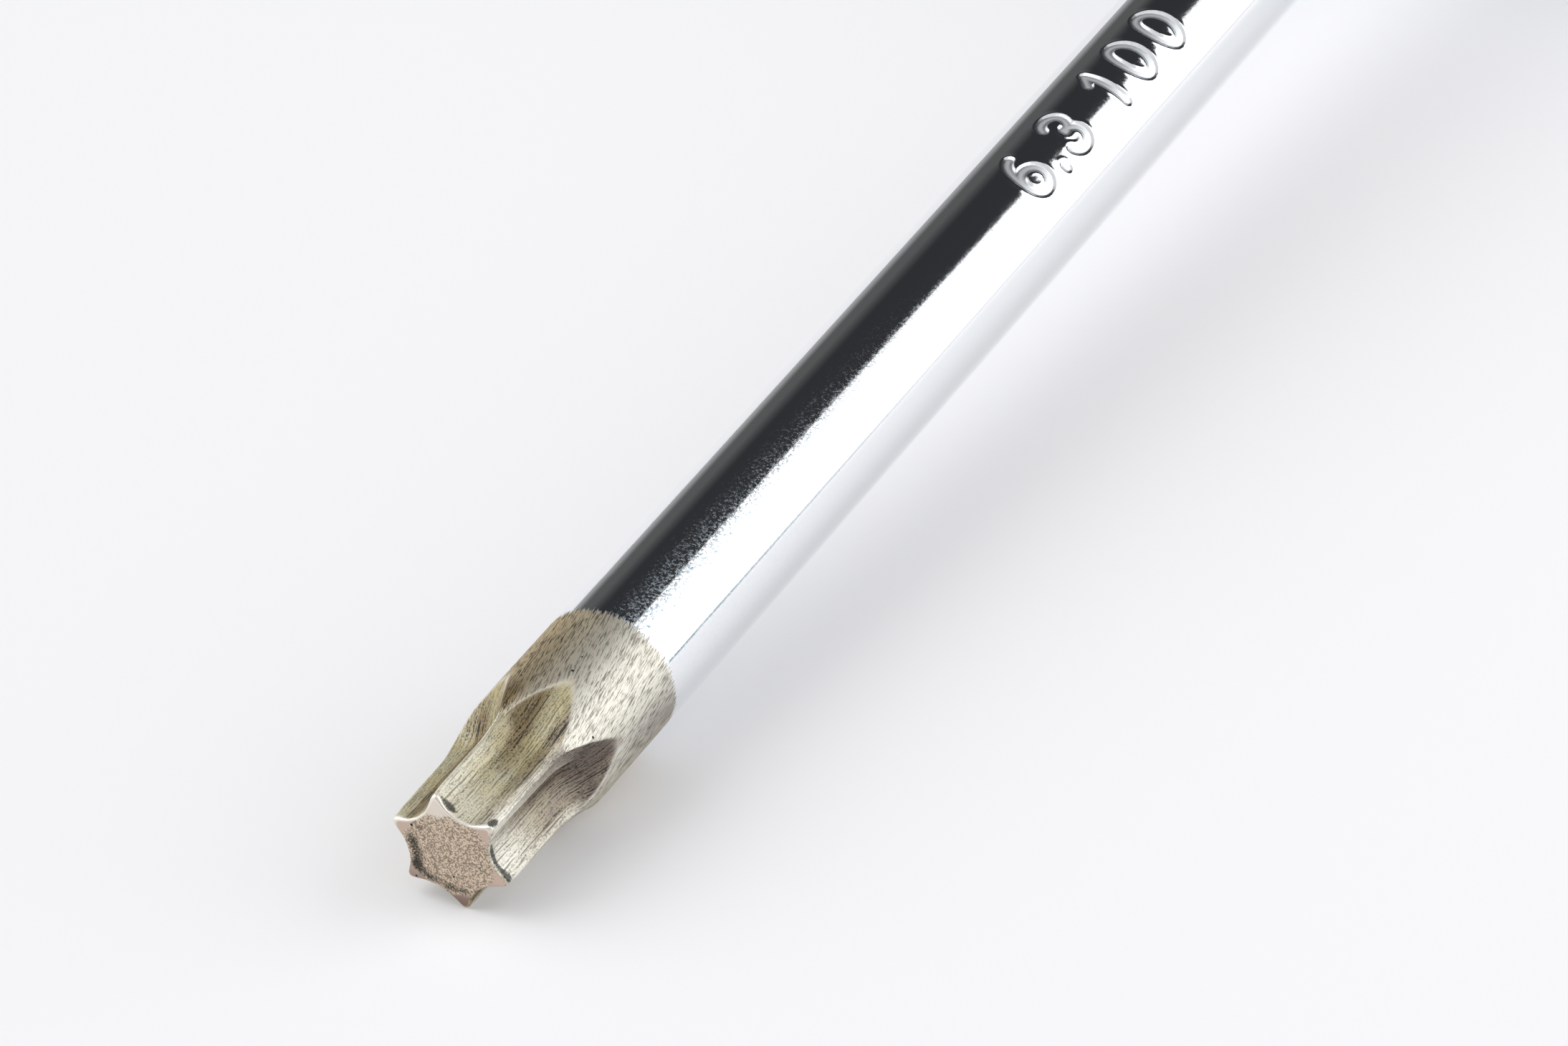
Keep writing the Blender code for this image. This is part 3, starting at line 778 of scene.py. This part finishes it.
def linear(hex_colour):
    """Turns an sRGB hex colour into the linear colour that a socket takes."""
    values = [int(hex_colour[i : i + 2], 16) / 255 for i in (1, 3, 5)]
    return (*[v / 12.92 if v <= 0.04045 else ((v + 0.055) / 1.055) ** 2.4 for v in values], 1.0)


def node(tree, kind, inputs, output=0, **settings):
    """Adds a node, applies its settings, links each input that is a socket or sets it to a value or a hex
    colour, and gives back one of its outputs."""
    made = tree.nodes.new(kind)
    for name, value in settings.items():
        setattr(made, name, value)
    for name, value in inputs.items():
        if isinstance(value, bpy.types.NodeSocket):
            tree.links.new(value, made.inputs[name])
        else:
            made.inputs[name].default_value = linear(value) if isinstance(value, str) else value
    return made.outputs[output]


def start_material(name):
    """A new material with its nodes, and the tool's own coordinates in millimetres."""
    material = bpy.data.materials.new(name)
    material.use_nodes = True
    tree = material.node_tree
    own = node(tree, "ShaderNodeTexCoord", {}, "Object")
    turned = {"Vector": own, "Location": TIP, "Rotation": (0.0, -TILT, 0.0), "Scale": (MM, MM, MM)}
    place = node(tree, "ShaderNodeMapping", turned, vector_type="TEXTURE")
    return material, tree, place


def link_shader(tree, **values):
    """Links values to the shader's sockets; an underscore stands for the space in a socket's name."""
    shader = tree.nodes["Principled BSDF"]
    for name, value in values.items():
        tree.links.new(value, shader.inputs[name.replace("_", " ")])


def drawn_grains(add, place, per_mm, detail, roughness=0.5):
    """Cloudy grains drawn out along a place's axes, about so many to the millimetre along each."""
    drawn = add(VECTOR, {0: place, 1: per_mm}, **TIMES)
    return add(NOISE, {"Vector": drawn, "Scale": 1.0, "Detail": detail, "Roughness": roughness})


def reach_towards(add, place, degrees):
    """How far a place lies towards an angle round the tool: 1 on the shaft's surface there."""
    turn = math.radians(degrees)
    way = (0.0, math.cos(turn) / SHAFT_RADIUS, math.sin(turn) / SHAFT_RADIUS)
    return add(VECTOR, {0: place, 1: way}, "Value", operation="DOT_PRODUCT")


def ground_and_plated_steel():
    """Alloy steel bar, ground bare at the tip and bright chrome-plated behind it.

    Grinding leaves fine lines that lean a little across the bar, and the milled flutes show streaks,
    scratches and broken rows of cutter marks, all in a warm khaki grey with brown stains and with black dirt
    in the corners. Painted highlights lie on the edges and flanks, and painted shade on the low lobes of the
    end face and in parts of the flutes. The plating is a cold mirror that ends in a comb of fine teeth,
    frosted near its end."""
    material, tree, place = start_material("ground_and_chrome_plated_steel")
    add = partial(node, tree)
    x, y, z = [add(SPLIT, {0: place}, axis) for axis in "XYZ"]
    names = ("face", "bevel", "top", "flute", "edge", "across", "dirt", "stain_and_shade", "stamp")
    stored = [add(ATTRIBUTE, {}, "Fac", attribute_name=name) for name in names]
    face, bevel, top_lobe, flute, edge, across, dirt, stain_and_shade, stamp = stored

    # Grinding lines lean over the bar, and are drawn 0.06 mm apart so that they show
    lean = add(MATH, {0: x, 1: math.tan(GRINDING_LEAN) / SHAFT_RADIUS}, **TIMES)
    leaning = add("ShaderNodeVectorRotate", {"Vector": place, "Angle": lean}, rotation_type="X_AXIS")
    fine_lines = drawn_grains(add, leaning, (1.7, 17.0, 17.0), 2.5, 0.7)
    bands = drawn_grains(add, leaning, (0.8, 6.0, 6.0), 3.0)
    lines_and_bands = add(MIX, {0: 0.12, 2: fine_lines, 3: bands})
    ground = add(RANGE, {0: lines_and_bands, 1: 0.3, 2: 0.7, 3: 0.20, 4: 0.86})

    # Streaks and specks lie along the flutes, drawn 0.06 mm apart so that they show
    layer = add(MATH, {0: y, 1: 0.3}, **TIMES)
    flute_place = add("ShaderNodeCombineXYZ", {0: x, 1: across, 2: layer})
    streaks = drawn_grains(add, flute_place, (1.8, 17.0, 1.0), 2.5, 0.7)
    specks = drawn_grains(add, flute_place, (10.0, 16.0, 1.0), 1.0)
    streaks_and_specks = add(MIX, {0: 0.50, 2: streaks, 3: specks})
    faint = add(RANGE, {0: streaks_and_specks, 1: 0.3, 2: 0.7, 3: 0.34, 4: 0.69})

    # Cutter marks are rows of dots that drift and break off, and scratches run between them; all are drawn as
    # coarse as they need to show
    drift = drawn_grains(add, flute_place, (0.5, 3.0, 1.0), 2.0)
    even_phase = add(MATH, {0: across, 1: 2.0 * math.pi / CUTTER_ROW_PITCH}, **TIMES)
    row_phase = add(MATH, {0: drift, 1: 22.0, 2: even_phase}, **TIMES_PLUS)
    rows = add(MATH, {0: row_phase}, operation="SINE")
    dashes = drawn_grains(add, flute_place, (1.0, 8.0, 1.0), 1.0)
    unbroken = add(RANGE, {0: dashes, 1: 0.44, 2: 0.62})
    broken_rows = add(MATH, {0: rows, 1: unbroken}, **TIMES)
    dot_phase = add(MATH, {0: x, 1: 2.0 * math.pi / CUTTER_DOT_PITCH}, **TIMES)
    dots = add(MATH, {0: dot_phase}, operation="SINE")
    dotted = add(RANGE, {0: dots, 1: -1.0, 3: 0.3})
    stitches = add(MATH, {0: broken_rows, 1: dotted}, **TIMES)
    stitched = add(MATH, {0: stitches, 1: 0.18, 2: faint}, **TIMES_PLUS)
    hairs = drawn_grains(add, flute_place, (0.35, 13.0, 1.0), 1.0)
    scratches = add(RANGE, {0: hairs, 1: 0.37, 2: 0.31, 4: 0.30})
    milled = add(MATH, {0: stitched, 1: scratches}, operation="SUBTRACT")

    # The sawn end face is grained like cast metal, drawn at 0.08 mm so that it shows
    fine_grain = add(NOISE, {"Vector": place, "Scale": 13.0, "Detail": 2.0, "Roughness": 0.7})
    grain = add(RANGE, {0: fine_grain, 1: 0.40, 2: 0.60, 3: 0.22, 4: 0.70})
    side_marks = add(MIX, {0: flute, 2: ground, 3: milled})
    face_marks = add(MIX, {0: bevel, 2: grain, 3: 0.54})
    marks = add(MIX, {0: face, 2: side_marks, 3: face_marks})

    # Tints a few millimetres wide: the land is paler and greyer towards 150 degrees round the tool and
    # browner on the other side, and the low flutes are greyer
    tint = drawn_grains(add, place, (0.55, 0.9, 0.9), 3.0)
    tint_share = add(RANGE, {0: tint, 1: 0.28, 2: 0.72})
    towards_150_degrees = add(RANGE, {0: reach_towards(add, place, 150.0), 2: 0.85})
    land_colour = add(MIX, {0: towards_150_degrees, 6: "#c3b08a", 7: "#d6d3c8"}, **COLOURS)
    upper_flute = add(MIX, {0: tint_share, 6: "#bfb27f", 7: "#c8c6b0"}, **COLOURS)
    low_side = add(RANGE, {0: y, 1: -1.2, 2: -2.2})
    low_tint = add(MATH, {0: low_side, 1: 0.6}, **TIMES)
    any_flute = add(MIX, {0: low_tint, 6: upper_flute, 7: "#bcaea3"}, **COLOURS)

    # One flank of each lobe gets a pale lilac-grey strip with a bright line along its edge, painted light and
    # a painted highlight standing in for a facet that the shape lacks; the other flank gets a narrow pale
    # rim, a painted highlight
    strip_edge = add(RANGE, {0: x, 1: 1.0, 2: 5.5, 3: -0.82, 4: -0.66})
    past_strip = add(MATH, {0: across, 1: strip_edge}, operation="SUBTRACT")
    strip_inner = add(RANGE, {0: low_side, 3: 0.25, 4: 0.02})
    strip_outer = add(RANGE, {0: low_side, 3: -0.25, 4: -0.02})
    strip = add(RANGE, {0: past_strip, 1: strip_inner, 2: strip_outer})
    strip_fade = add(RANGE, {0: x, 1: 1.0, 2: 4.5, 3: 0.5, 4: 0.05})
    strip_share = add(RANGE, {0: y, 1: 1.6, 2: 0.8, 4: strip_fade})
    strip_pale = add(MATH, {0: strip, 1: strip_share}, **TIMES)
    rim = add(RANGE, {0: across, 1: 1.02, 2: 1.08})
    rim_pale = add(MATH, {0: rim, 1: 0.6}, **TIMES)
    either_pale = add(MATH, {0: strip_pale, 1: rim_pale}, **LARGER)
    either_flank = add(MATH, {0: strip, 1: rim}, **LARGER)
    lobe_part = {0: x, 1: 6.2, 2: 5.4}
    flank_pale = add(RANGE, {**lobe_part, 4: either_pale})
    flank = add(RANGE, {**lobe_part, 4: either_flank})
    lobe_flute = add(RANGE, {**lobe_part, 4: flute})
    from_line = add(MATH, {0: past_strip}, operation="ABSOLUTE")
    near_line = add(RANGE, {0: from_line, 1: 0.07, 2: 0.03, 4: 0.5})
    strip_line = add(MATH, {0: near_line, 1: low_side}, **TIMES)
    bright_line = add(MATH, {0: strip_line, 1: lobe_flute}, **TIMES)
    strip_tint_share = add(RANGE, {0: low_side, 3: 0.15, 4: 0.7})
    strip_tint = add(MATH, {0: strip, 1: strip_tint_share}, **TIMES)
    flute_colour = add(MIX, {0: strip_tint, 6: any_flute, 7: "#c2bcb6"}, **COLOURS)

    # The flutes are paler near the end face as well, except on the upper side, and the flanks' painted light
    # is laid on here
    near_end = add(RANGE, {0: x, 1: 3.6, 2: 1.0})
    end_amount = add(RANGE, {0: low_side, 3: 0.5})
    end_side = add(RANGE, {0: y, 1: 1.6, 2: 0.8, 4: end_amount})
    end_pale = add(MATH, {0: end_side, 1: near_end}, **TIMES)
    end_pale_and_flank_light = add(MATH, {0: end_pale, 1: flank_pale}, **LARGER)
    paled_flute = add(MIX, {0: end_pale_and_flank_light, 6: flute_colour, 7: "#f0ede0"}, **COLOURS)
    side_colour = add(MIX, {0: flute, 6: land_colour, 7: paled_flute}, **COLOURS)

    # Grime has gathered beside one flank and painted shade lies along the other flank's wall; patches of
    # stain and painted shade come from the marks, and the flutes darken towards their rear
    left_start = add(RANGE, {0: past_strip, 2: 0.04})
    left_grime = add(RANGE, {0: past_strip, 1: 0.7, 2: 0.1, 4: left_start})
    left_share = add(RANGE, {0: low_side, 3: 0.35, 4: 0.6})
    right_start = add(RANGE, {0: across, 1: 0.35, 2: 0.65, 4: 0.65})
    right_band = add(RANGE, {0: across, 1: 1.08, 2: 1.02, 4: right_start})
    right_wall_shade = add(RANGE, {0: low_side, 3: right_band, 4: 0.0})
    grime_and_wall_shade = add(MATH, {0: left_grime, 1: left_share, 2: right_wall_shade}, **TIMES_PLUS)
    flute_grime_and_shade = add(MATH, {0: grime_and_wall_shade, 1: flute}, **TIMES)
    grime_and_shade_in_front = add(RANGE, {0: x, 1: 8.0, 2: 6.0, 4: flute_grime_and_shade})
    rear_amount = add(RANGE, {0: low_side, 3: 0.28, 4: 0.95})
    rear_half = add(RANGE, {0: x, 1: 1.5, 2: 6.8, 4: rear_amount})
    rear_darkening_and_stain = add(MATH, {0: rear_half, 1: flute, 2: stain_and_shade}, **TIMES_PLUS)
    all_stain_and_shade = add(MATH, {0: rear_darkening_and_stain, 1: grime_and_shade_in_front}, operation="ADD")
    kept = add(RANGE, {0: flank, 3: 1.0, 4: 0.4})
    kept_stain_and_shade = add(MATH, {0: all_stain_and_shade, 1: kept}, **TIMES)
    patchy = add(RANGE, {0: tint, 1: 0.3, 2: 0.7, 3: 0.7, 4: 1.3})
    patchy_stain_and_shade = add(MATH, {0: patchy, 1: kept_stain_and_shade}, **TIMES)
    stain_and_shade_share = add(RANGE, {0: patchy_stain_and_shade, 1: 0.08, 2: 1.1, 4: 0.92})
    stain_and_shade_colour = add(MIX, {0: low_side, 6: "#7f6c47", 7: "#63554d"}, **COLOURS)
    stained_and_shaded = add(MIX, {0: stain_and_shade_share, 6: side_colour, 7: stain_and_shade_colour}, **COLOURS)

    # The end face is pinker; its uppermost lobe is lighter, a painted highlight, and its low lobes are darker
    # towards the bottom, painted shade
    low_end = add(RANGE, {0: z, 1: -0.8, 2: -2.3})
    low_bevel = add(MIX, {0: low_end, 6: "#d6c1b2", 7: "#9a857c"}, **COLOURS)
    bevel_colour = add(MIX, {0: top_lobe, 6: low_bevel, 7: "#f0e7db"}, **COLOURS)
    face_colour = add(MIX, {0: bevel, 6: "#e2d0bb", 7: bevel_colour}, **COLOURS)
    metal = add(MIX, {0: face, 6: stained_and_shaded, 7: face_colour}, **COLOURS)

    # Marks are dark, and darkest in the stains and painted shade and on the land's side away from 150 degrees
    mark_depth = add(RANGE, {0: marks, 1: 0.56, 2: 0.36, 4: 0.65})
    away_from_150_degrees = add(RANGE, {0: towards_150_degrees, 3: 0.9, 4: 0.0})
    flute_or_face = add(MATH, {0: flute, 1: face}, operation="ADD")
    land_away_from_150 = add(RANGE, {0: flute_or_face, 3: away_from_150_degrees, 4: 0.0})
    line_darkening = add(MATH, {0: stain_and_shade_share, 1: land_away_from_150}, **LARGER)
    deeper = add(RANGE, {0: line_darkening, 3: 1.0, 4: 1.7})
    line_depth = add(MATH, {0: mark_depth, 1: deeper}, **TIMES)
    line_colour = add(MIX, {0: line_darkening, 6: "#4f463b", 7: "#1e1d1b"}, **COLOURS)
    marked = add(MIX, {0: line_depth, 6: metal, 7: line_colour}, **COLOURS)

    # Edges are worn and carry painted highlights, and crumbs of dirt and single pits are black
    any_edge = add(MATH, {0: edge, 1: bright_line}, **LARGER)
    worn_and_highlit = add(MATH, {0: any_edge, 1: 0.75}, **TIMES)
    bright_edges = add(MIX, {0: worn_and_highlit, 6: marked, 7: "#f6f2e8"}, **COLOURS)
    crumb_noise = add(NOISE, {"Vector": place, "Scale": 10.0, "Detail": 4.0, "Roughness": 0.8})
    crumbs = add(MATH, {0: crumb_noise, 1: dirt}, **TIMES)
    dirt_share = add(RANGE, {0: crumbs, 1: 0.26, 2: 0.44, 4: 0.9})
    pits = add("ShaderNodeTexVoronoi", {"Vector": place, "Scale": 0.9}, "Distance")
    pit_share = add(RANGE, {0: pits, 1: 0.07, 2: 0.045})
    black = add(MATH, {0: dirt_share, 1: pit_share}, **LARGER)
    bare = add(MIX, {0: black, 6: bright_edges, 7: "#2b2c28"}, **COLOURS)

    # The plating ends in a comb of teeth, and dull bluish specks lie along its upper side, fewer further back
    comb = drawn_grains(add, leaning, (1.2, 14.0, 14.0), 2.0)
    plating_edge = add(MATH, {0: comb, 1: 1.1, 2: x}, **TIMES_PLUS)
    plated = add(RANGE, {0: plating_edge, 1: PLATING_START + 0.5, 2: PLATING_START + 0.6})
    frost_reach = add(RANGE, {0: x, 1: PLATING_START, 2: FROST_END, 3: 1.0, 4: 0.15})
    frost_noise = add(NOISE, {"Vector": place, "Scale": 7.0, "Detail": 3.0, "Roughness": 0.75})
    frost_specks = add(RANGE, {0: frost_noise, 1: 0.50, 2: 0.70, 4: frost_reach})
    top_share = add(RANGE, {0: reach_towards(add, place, 115.0), 1: 0.89, 2: 0.985, 3: 0.10})
    frost = add(MATH, {0: frost_specks, 1: top_share}, **TIMES)
    plating = add(MIX, {0: frost, 6: "#f1f3f5", 7: "#8ab6d0"}, **COLOURS)
    colour = add(MIX, {0: plated, 6: bare, 7: plating}, **COLOURS)

    plain_roughness = add(MATH, {0: frost, 1: 0.46, 2: 0.075}, **TIMES_PLUS)
    plating_roughness = add(MATH, {0: stamp, 1: 0.40, 2: plain_roughness}, **TIMES_PLUS)
    side_roughness = add(RANGE, {0: marks, 1: 0.3, 2: 0.7, 3: 0.60, 4: 0.46})
    bare_roughness = add(MIX, {0: face, 2: side_roughness, 3: 0.58})
    roughness = add(MIX, {0: plated, 2: bare_roughness, 3: plating_roughness})
    frost_height = add(MATH, {0: frost, 1: 0.4}, **TIMES)
    height = add(MIX, {0: plated, 2: marks, 3: frost_height})
    normal = add("ShaderNodeBump", {"Strength": 1.0, "Distance": MARK_DEPTH * MM, "Height": height})

    # A dull film in the flutes scatters part of the light evenly, most at the worn end
    film = add(MATH, {0: near_end, 1: 0.1, 2: 0.6}, **TIMES_PLUS)
    flute_film = add(MATH, {0: flute, 1: film}, **TIMES)
    metallic = add(MATH, {0: 1.0, 1: flute_film}, operation="SUBTRACT")
    link_shader(tree, Base_Color=colour, Roughness=roughness, Metallic=metallic, Normal=normal)
    return material


def moulded_plastic(name, colour, worn_colour, roughness, grain_mm, grain_depth_mm):
    """Moulded plastic: an even colour with faint flow clouds a few millimetres wide, and the fine pebbled
    grain of a spark-eroded mould that breaks up the shine."""
    material, tree, place = start_material(name)
    add = partial(node, tree)
    cloud = add(NOISE, {"Vector": place, "Scale": 0.12, "Detail": 3.0})
    share = add(RANGE, {0: cloud, 1: 0.35, 2: 0.7})
    tint = add(MIX, {0: share, 6: colour, 7: worn_colour}, **COLOURS)
    shine = add(RANGE, {0: cloud, 1: 0.3, 2: 0.7, 3: roughness - 0.05, 4: roughness + 0.06})
    grain = add(NOISE, {"Vector": place, "Scale": 0.5 / grain_mm, "Detail": 3.0})
    bump = add("ShaderNodeBump", {"Strength": 1.0, "Distance": grain_depth_mm * MM, "Height": grain})
    link_shader(tree, Base_Color=tint, Roughness=shine, Normal=bump)
    return material


# Stage


def way(heading_degrees, lift_degrees=0.0):
    """Unit vector at a heading, turned from the frame's +X towards its +Y, and at a height over the table."""
    heading, lift = np.radians((heading_degrees, lift_degrees))
    return np.array((math.cos(lift) * math.cos(heading), math.cos(lift) * math.sin(heading), math.sin(lift)))


def make_floor():
    """Plain pale table, far wider than any view of the tool. Where it is seen, directly or in a mirror or
    glass, a little of it is its own white and the rest is the light that falls on it."""
    reach = 4.0
    corners = [(-reach, -reach, 0.0), (reach, -reach, 0.0), (reach, reach, 0.0), (-reach, reach, 0.0)]
    mesh = bpy.data.meshes.new("table")
    mesh.from_pydata(corners, [], [(0, 1, 2, 3)])
    table = bpy.data.objects.new("table", mesh)
    bpy.context.scene.collection.objects.link(table)
    material = bpy.data.materials.new("matt_white_card")
    material.use_nodes = True
    material.cycles.emission_sampling = "NONE"
    tree = material.node_tree
    add = partial(node, tree)
    shader = tree.nodes["Principled BSDF"]
    shader.inputs["Base Color"].default_value = linear("#eaeaec")
    shader.inputs["Roughness"].default_value = 0.9
    shader.inputs["Specular IOR Level"].default_value = 0.1
    rays = ("Is Camera Ray", "Is Glossy Ray", "Is Transmission Ray")
    seen, mirrored, through = [add("ShaderNodeLightPath", {}, ray) for ray in rays]
    either = add(MATH, {0: seen, 1: mirrored}, **LARGER)
    any_way = add(MATH, {0: either, 1: through}, **LARGER)
    share = add(MATH, {0: any_way, 1: 0.18}, **TIMES)
    white = add("ShaderNodeEmission", {"Color": "#fafafb", "Strength": 1.0})
    shown = add("ShaderNodeMixShader", {0: share, 1: shader.outputs[0], 2: white})
    tree.links.new(shown, tree.nodes["Material Output"].inputs["Surface"])
    mesh.materials.append(material)


def make_softbox():
    """A soft lamp to the right of the tip, facing it. Its power follows from how bright its face looks."""
    heading_degrees = -52.0
    lift_degrees = 28.5
    distance = 0.7
    radiance = 1.4
    light = bpy.data.lights.new("side_softbox", "AREA")
    light.shape = "RECTANGLE"
    light.size = 0.74
    light.size_y = 0.68
    light.energy = radiance * math.pi * light.size * light.size_y
    lamp = bpy.data.objects.new("side_softbox", light)
    bpy.context.scene.collection.objects.link(lamp)
    lamp.location = TIP + distance * way(heading_degrees, lift_degrees)
    lamp.rotation_euler = np.radians((90.0 - lift_degrees, 0.0, heading_degrees + 90.0))
    lamp.visible_camera = False


def make_world():
    """Studio round the table: pale walls under a dimmer ceiling, a big lit window high on the left, a dark
    screen ahead, and a dark room behind the camera. Light and reflections meet them; the camera sees the pale
    walls only."""
    world = bpy.data.worlds.new("studio")
    bpy.context.scene.world = world
    world.use_nodes = True
    tree = world.node_tree
    add = partial(node, tree)
    pale = (0.96, 0.96, 0.97, 1.0)
    direction = add("ShaderNodeTexCoord", {}, "Generated")
    height = add(SPLIT, {0: direction}, "Z")
    level = add(VECTOR, {0: direction, 1: (1.0, 1.0, 0.0)}, **TIMES)
    heading = add(VECTOR, {0: level}, operation="NORMALIZE")

    def patch(heading_degrees, edge_cosine, full_cosine, top, full_height):
        """Share of a patch of the room. It fades by the cosine of the angle to its heading, and by height."""
        cosine = add(VECTOR, {0: heading, 1: way(heading_degrees)}, "Value", operation="DOT_PRODUCT")
        width = add(RANGE, {0: cosine, 1: edge_cosine, 2: full_cosine})
        return add(RANGE, {0: height, 1: top, 2: full_height, 4: width})

    ceiling = add(RANGE, {0: height, 1: 0.30, 2: 0.55})
    walls = add(MIX, {0: ceiling, 6: pale, 7: (0.74, 0.74, 0.75, 1.0)}, **COLOURS)
    window_cosine = add(VECTOR, {0: direction, 1: way(117.0, 45.0)}, "Value", operation="DOT_PRODUCT")
    window = add(RANGE, {0: window_cosine, 1: 0.74, 2: 0.92})
    lit = add(MIX, {0: window, 6: walls, 7: (3.0, 3.0, 3.0, 1.0)}, **COLOURS)

    # The screen reaches about 40 degrees to each side of its heading and 58 degrees up. A grey card stands on
    # its left, palest at its foot
    card = patch(50.0, 0.90, 0.96, 0.58, 0.40)
    glow = add(RANGE, {0: height, 1: 0.06, 2: 0.22, 3: 0.36, 4: 0.10})
    screen_colour = add(MIX, {0: card, 6: (0.030, 0.031, 0.034, 1.0), 7: glow}, **COLOURS)
    screen = patch(10.0, 0.68, 0.80, 0.90, 0.80)
    screened = add(MIX, {0: screen, 6: lit, 7: screen_colour}, **COLOURS)

    # The room behind the camera is dark
    back = patch(184.0, 0.76, 0.88, 0.96, 0.86)
    shaded = add(MIX, {0: back, 6: screened, 7: (0.06, 0.06, 0.065, 1.0)}, **COLOURS)

    # A blue-grey gap shows under the softbox, over the edge of the table
    gap = patch(-60.0, 0.955, 0.972, 0.060, 0.045)
    room = add(MIX, {0: gap, 6: shaded, 7: (0.10, 0.22, 0.30, 1.0)}, **COLOURS)
    seen = add("ShaderNodeLightPath", {}, "Is Camera Ray")
    shown = add(MIX, {0: seen, 6: room, 7: pale}, **COLOURS)
    tree.links.new(shown, tree.nodes["Background"].inputs["Color"])


def make_camera():
    """The photograph's own view: a long lens close over the tip, looking down along the blade."""
    data = bpy.data.cameras.new("photo_camera")
    data.lens = CAMERA_LENS
    data.sensor_width = CAMERA_SENSOR
    camera = bpy.data.objects.new("photo_camera", data)
    bpy.context.scene.collection.objects.link(camera)
    camera.location = TIP + MM * CAMERA_FROM_TIP
    camera.rotation_euler = (math.pi / 2 - CAMERA_DIP, 0.0, CAMERA_HEADING - math.pi / 2)
    bpy.context.scene.camera = camera


make_camera()
make_world()
make_floor()
make_softbox()

make_blade(ground_and_plated_steel())
make_core(moulded_plastic("moulded_blue_polypropylene", "#245a8f", "#21568a", 0.32, 0.5, 0.006))
soft = moulded_plastic("moulded_black_elastomer", "#26272a", "#2c2d30", 0.62, 0.18, 0.03)
make_ring(soft)
make_pads(soft)
make_cap(moulded_plastic("moulded_grey_polypropylene", "#31353a", "#363a40", 0.42, 0.25, 0.012))
make_disc(moulded_plastic("moulded_pale_polypropylene", "#c4c8cb", "#bfc3c7", 0.36, 0.4, 0.005))

bpy.context.scene.view_settings.view_transform = "Standard"
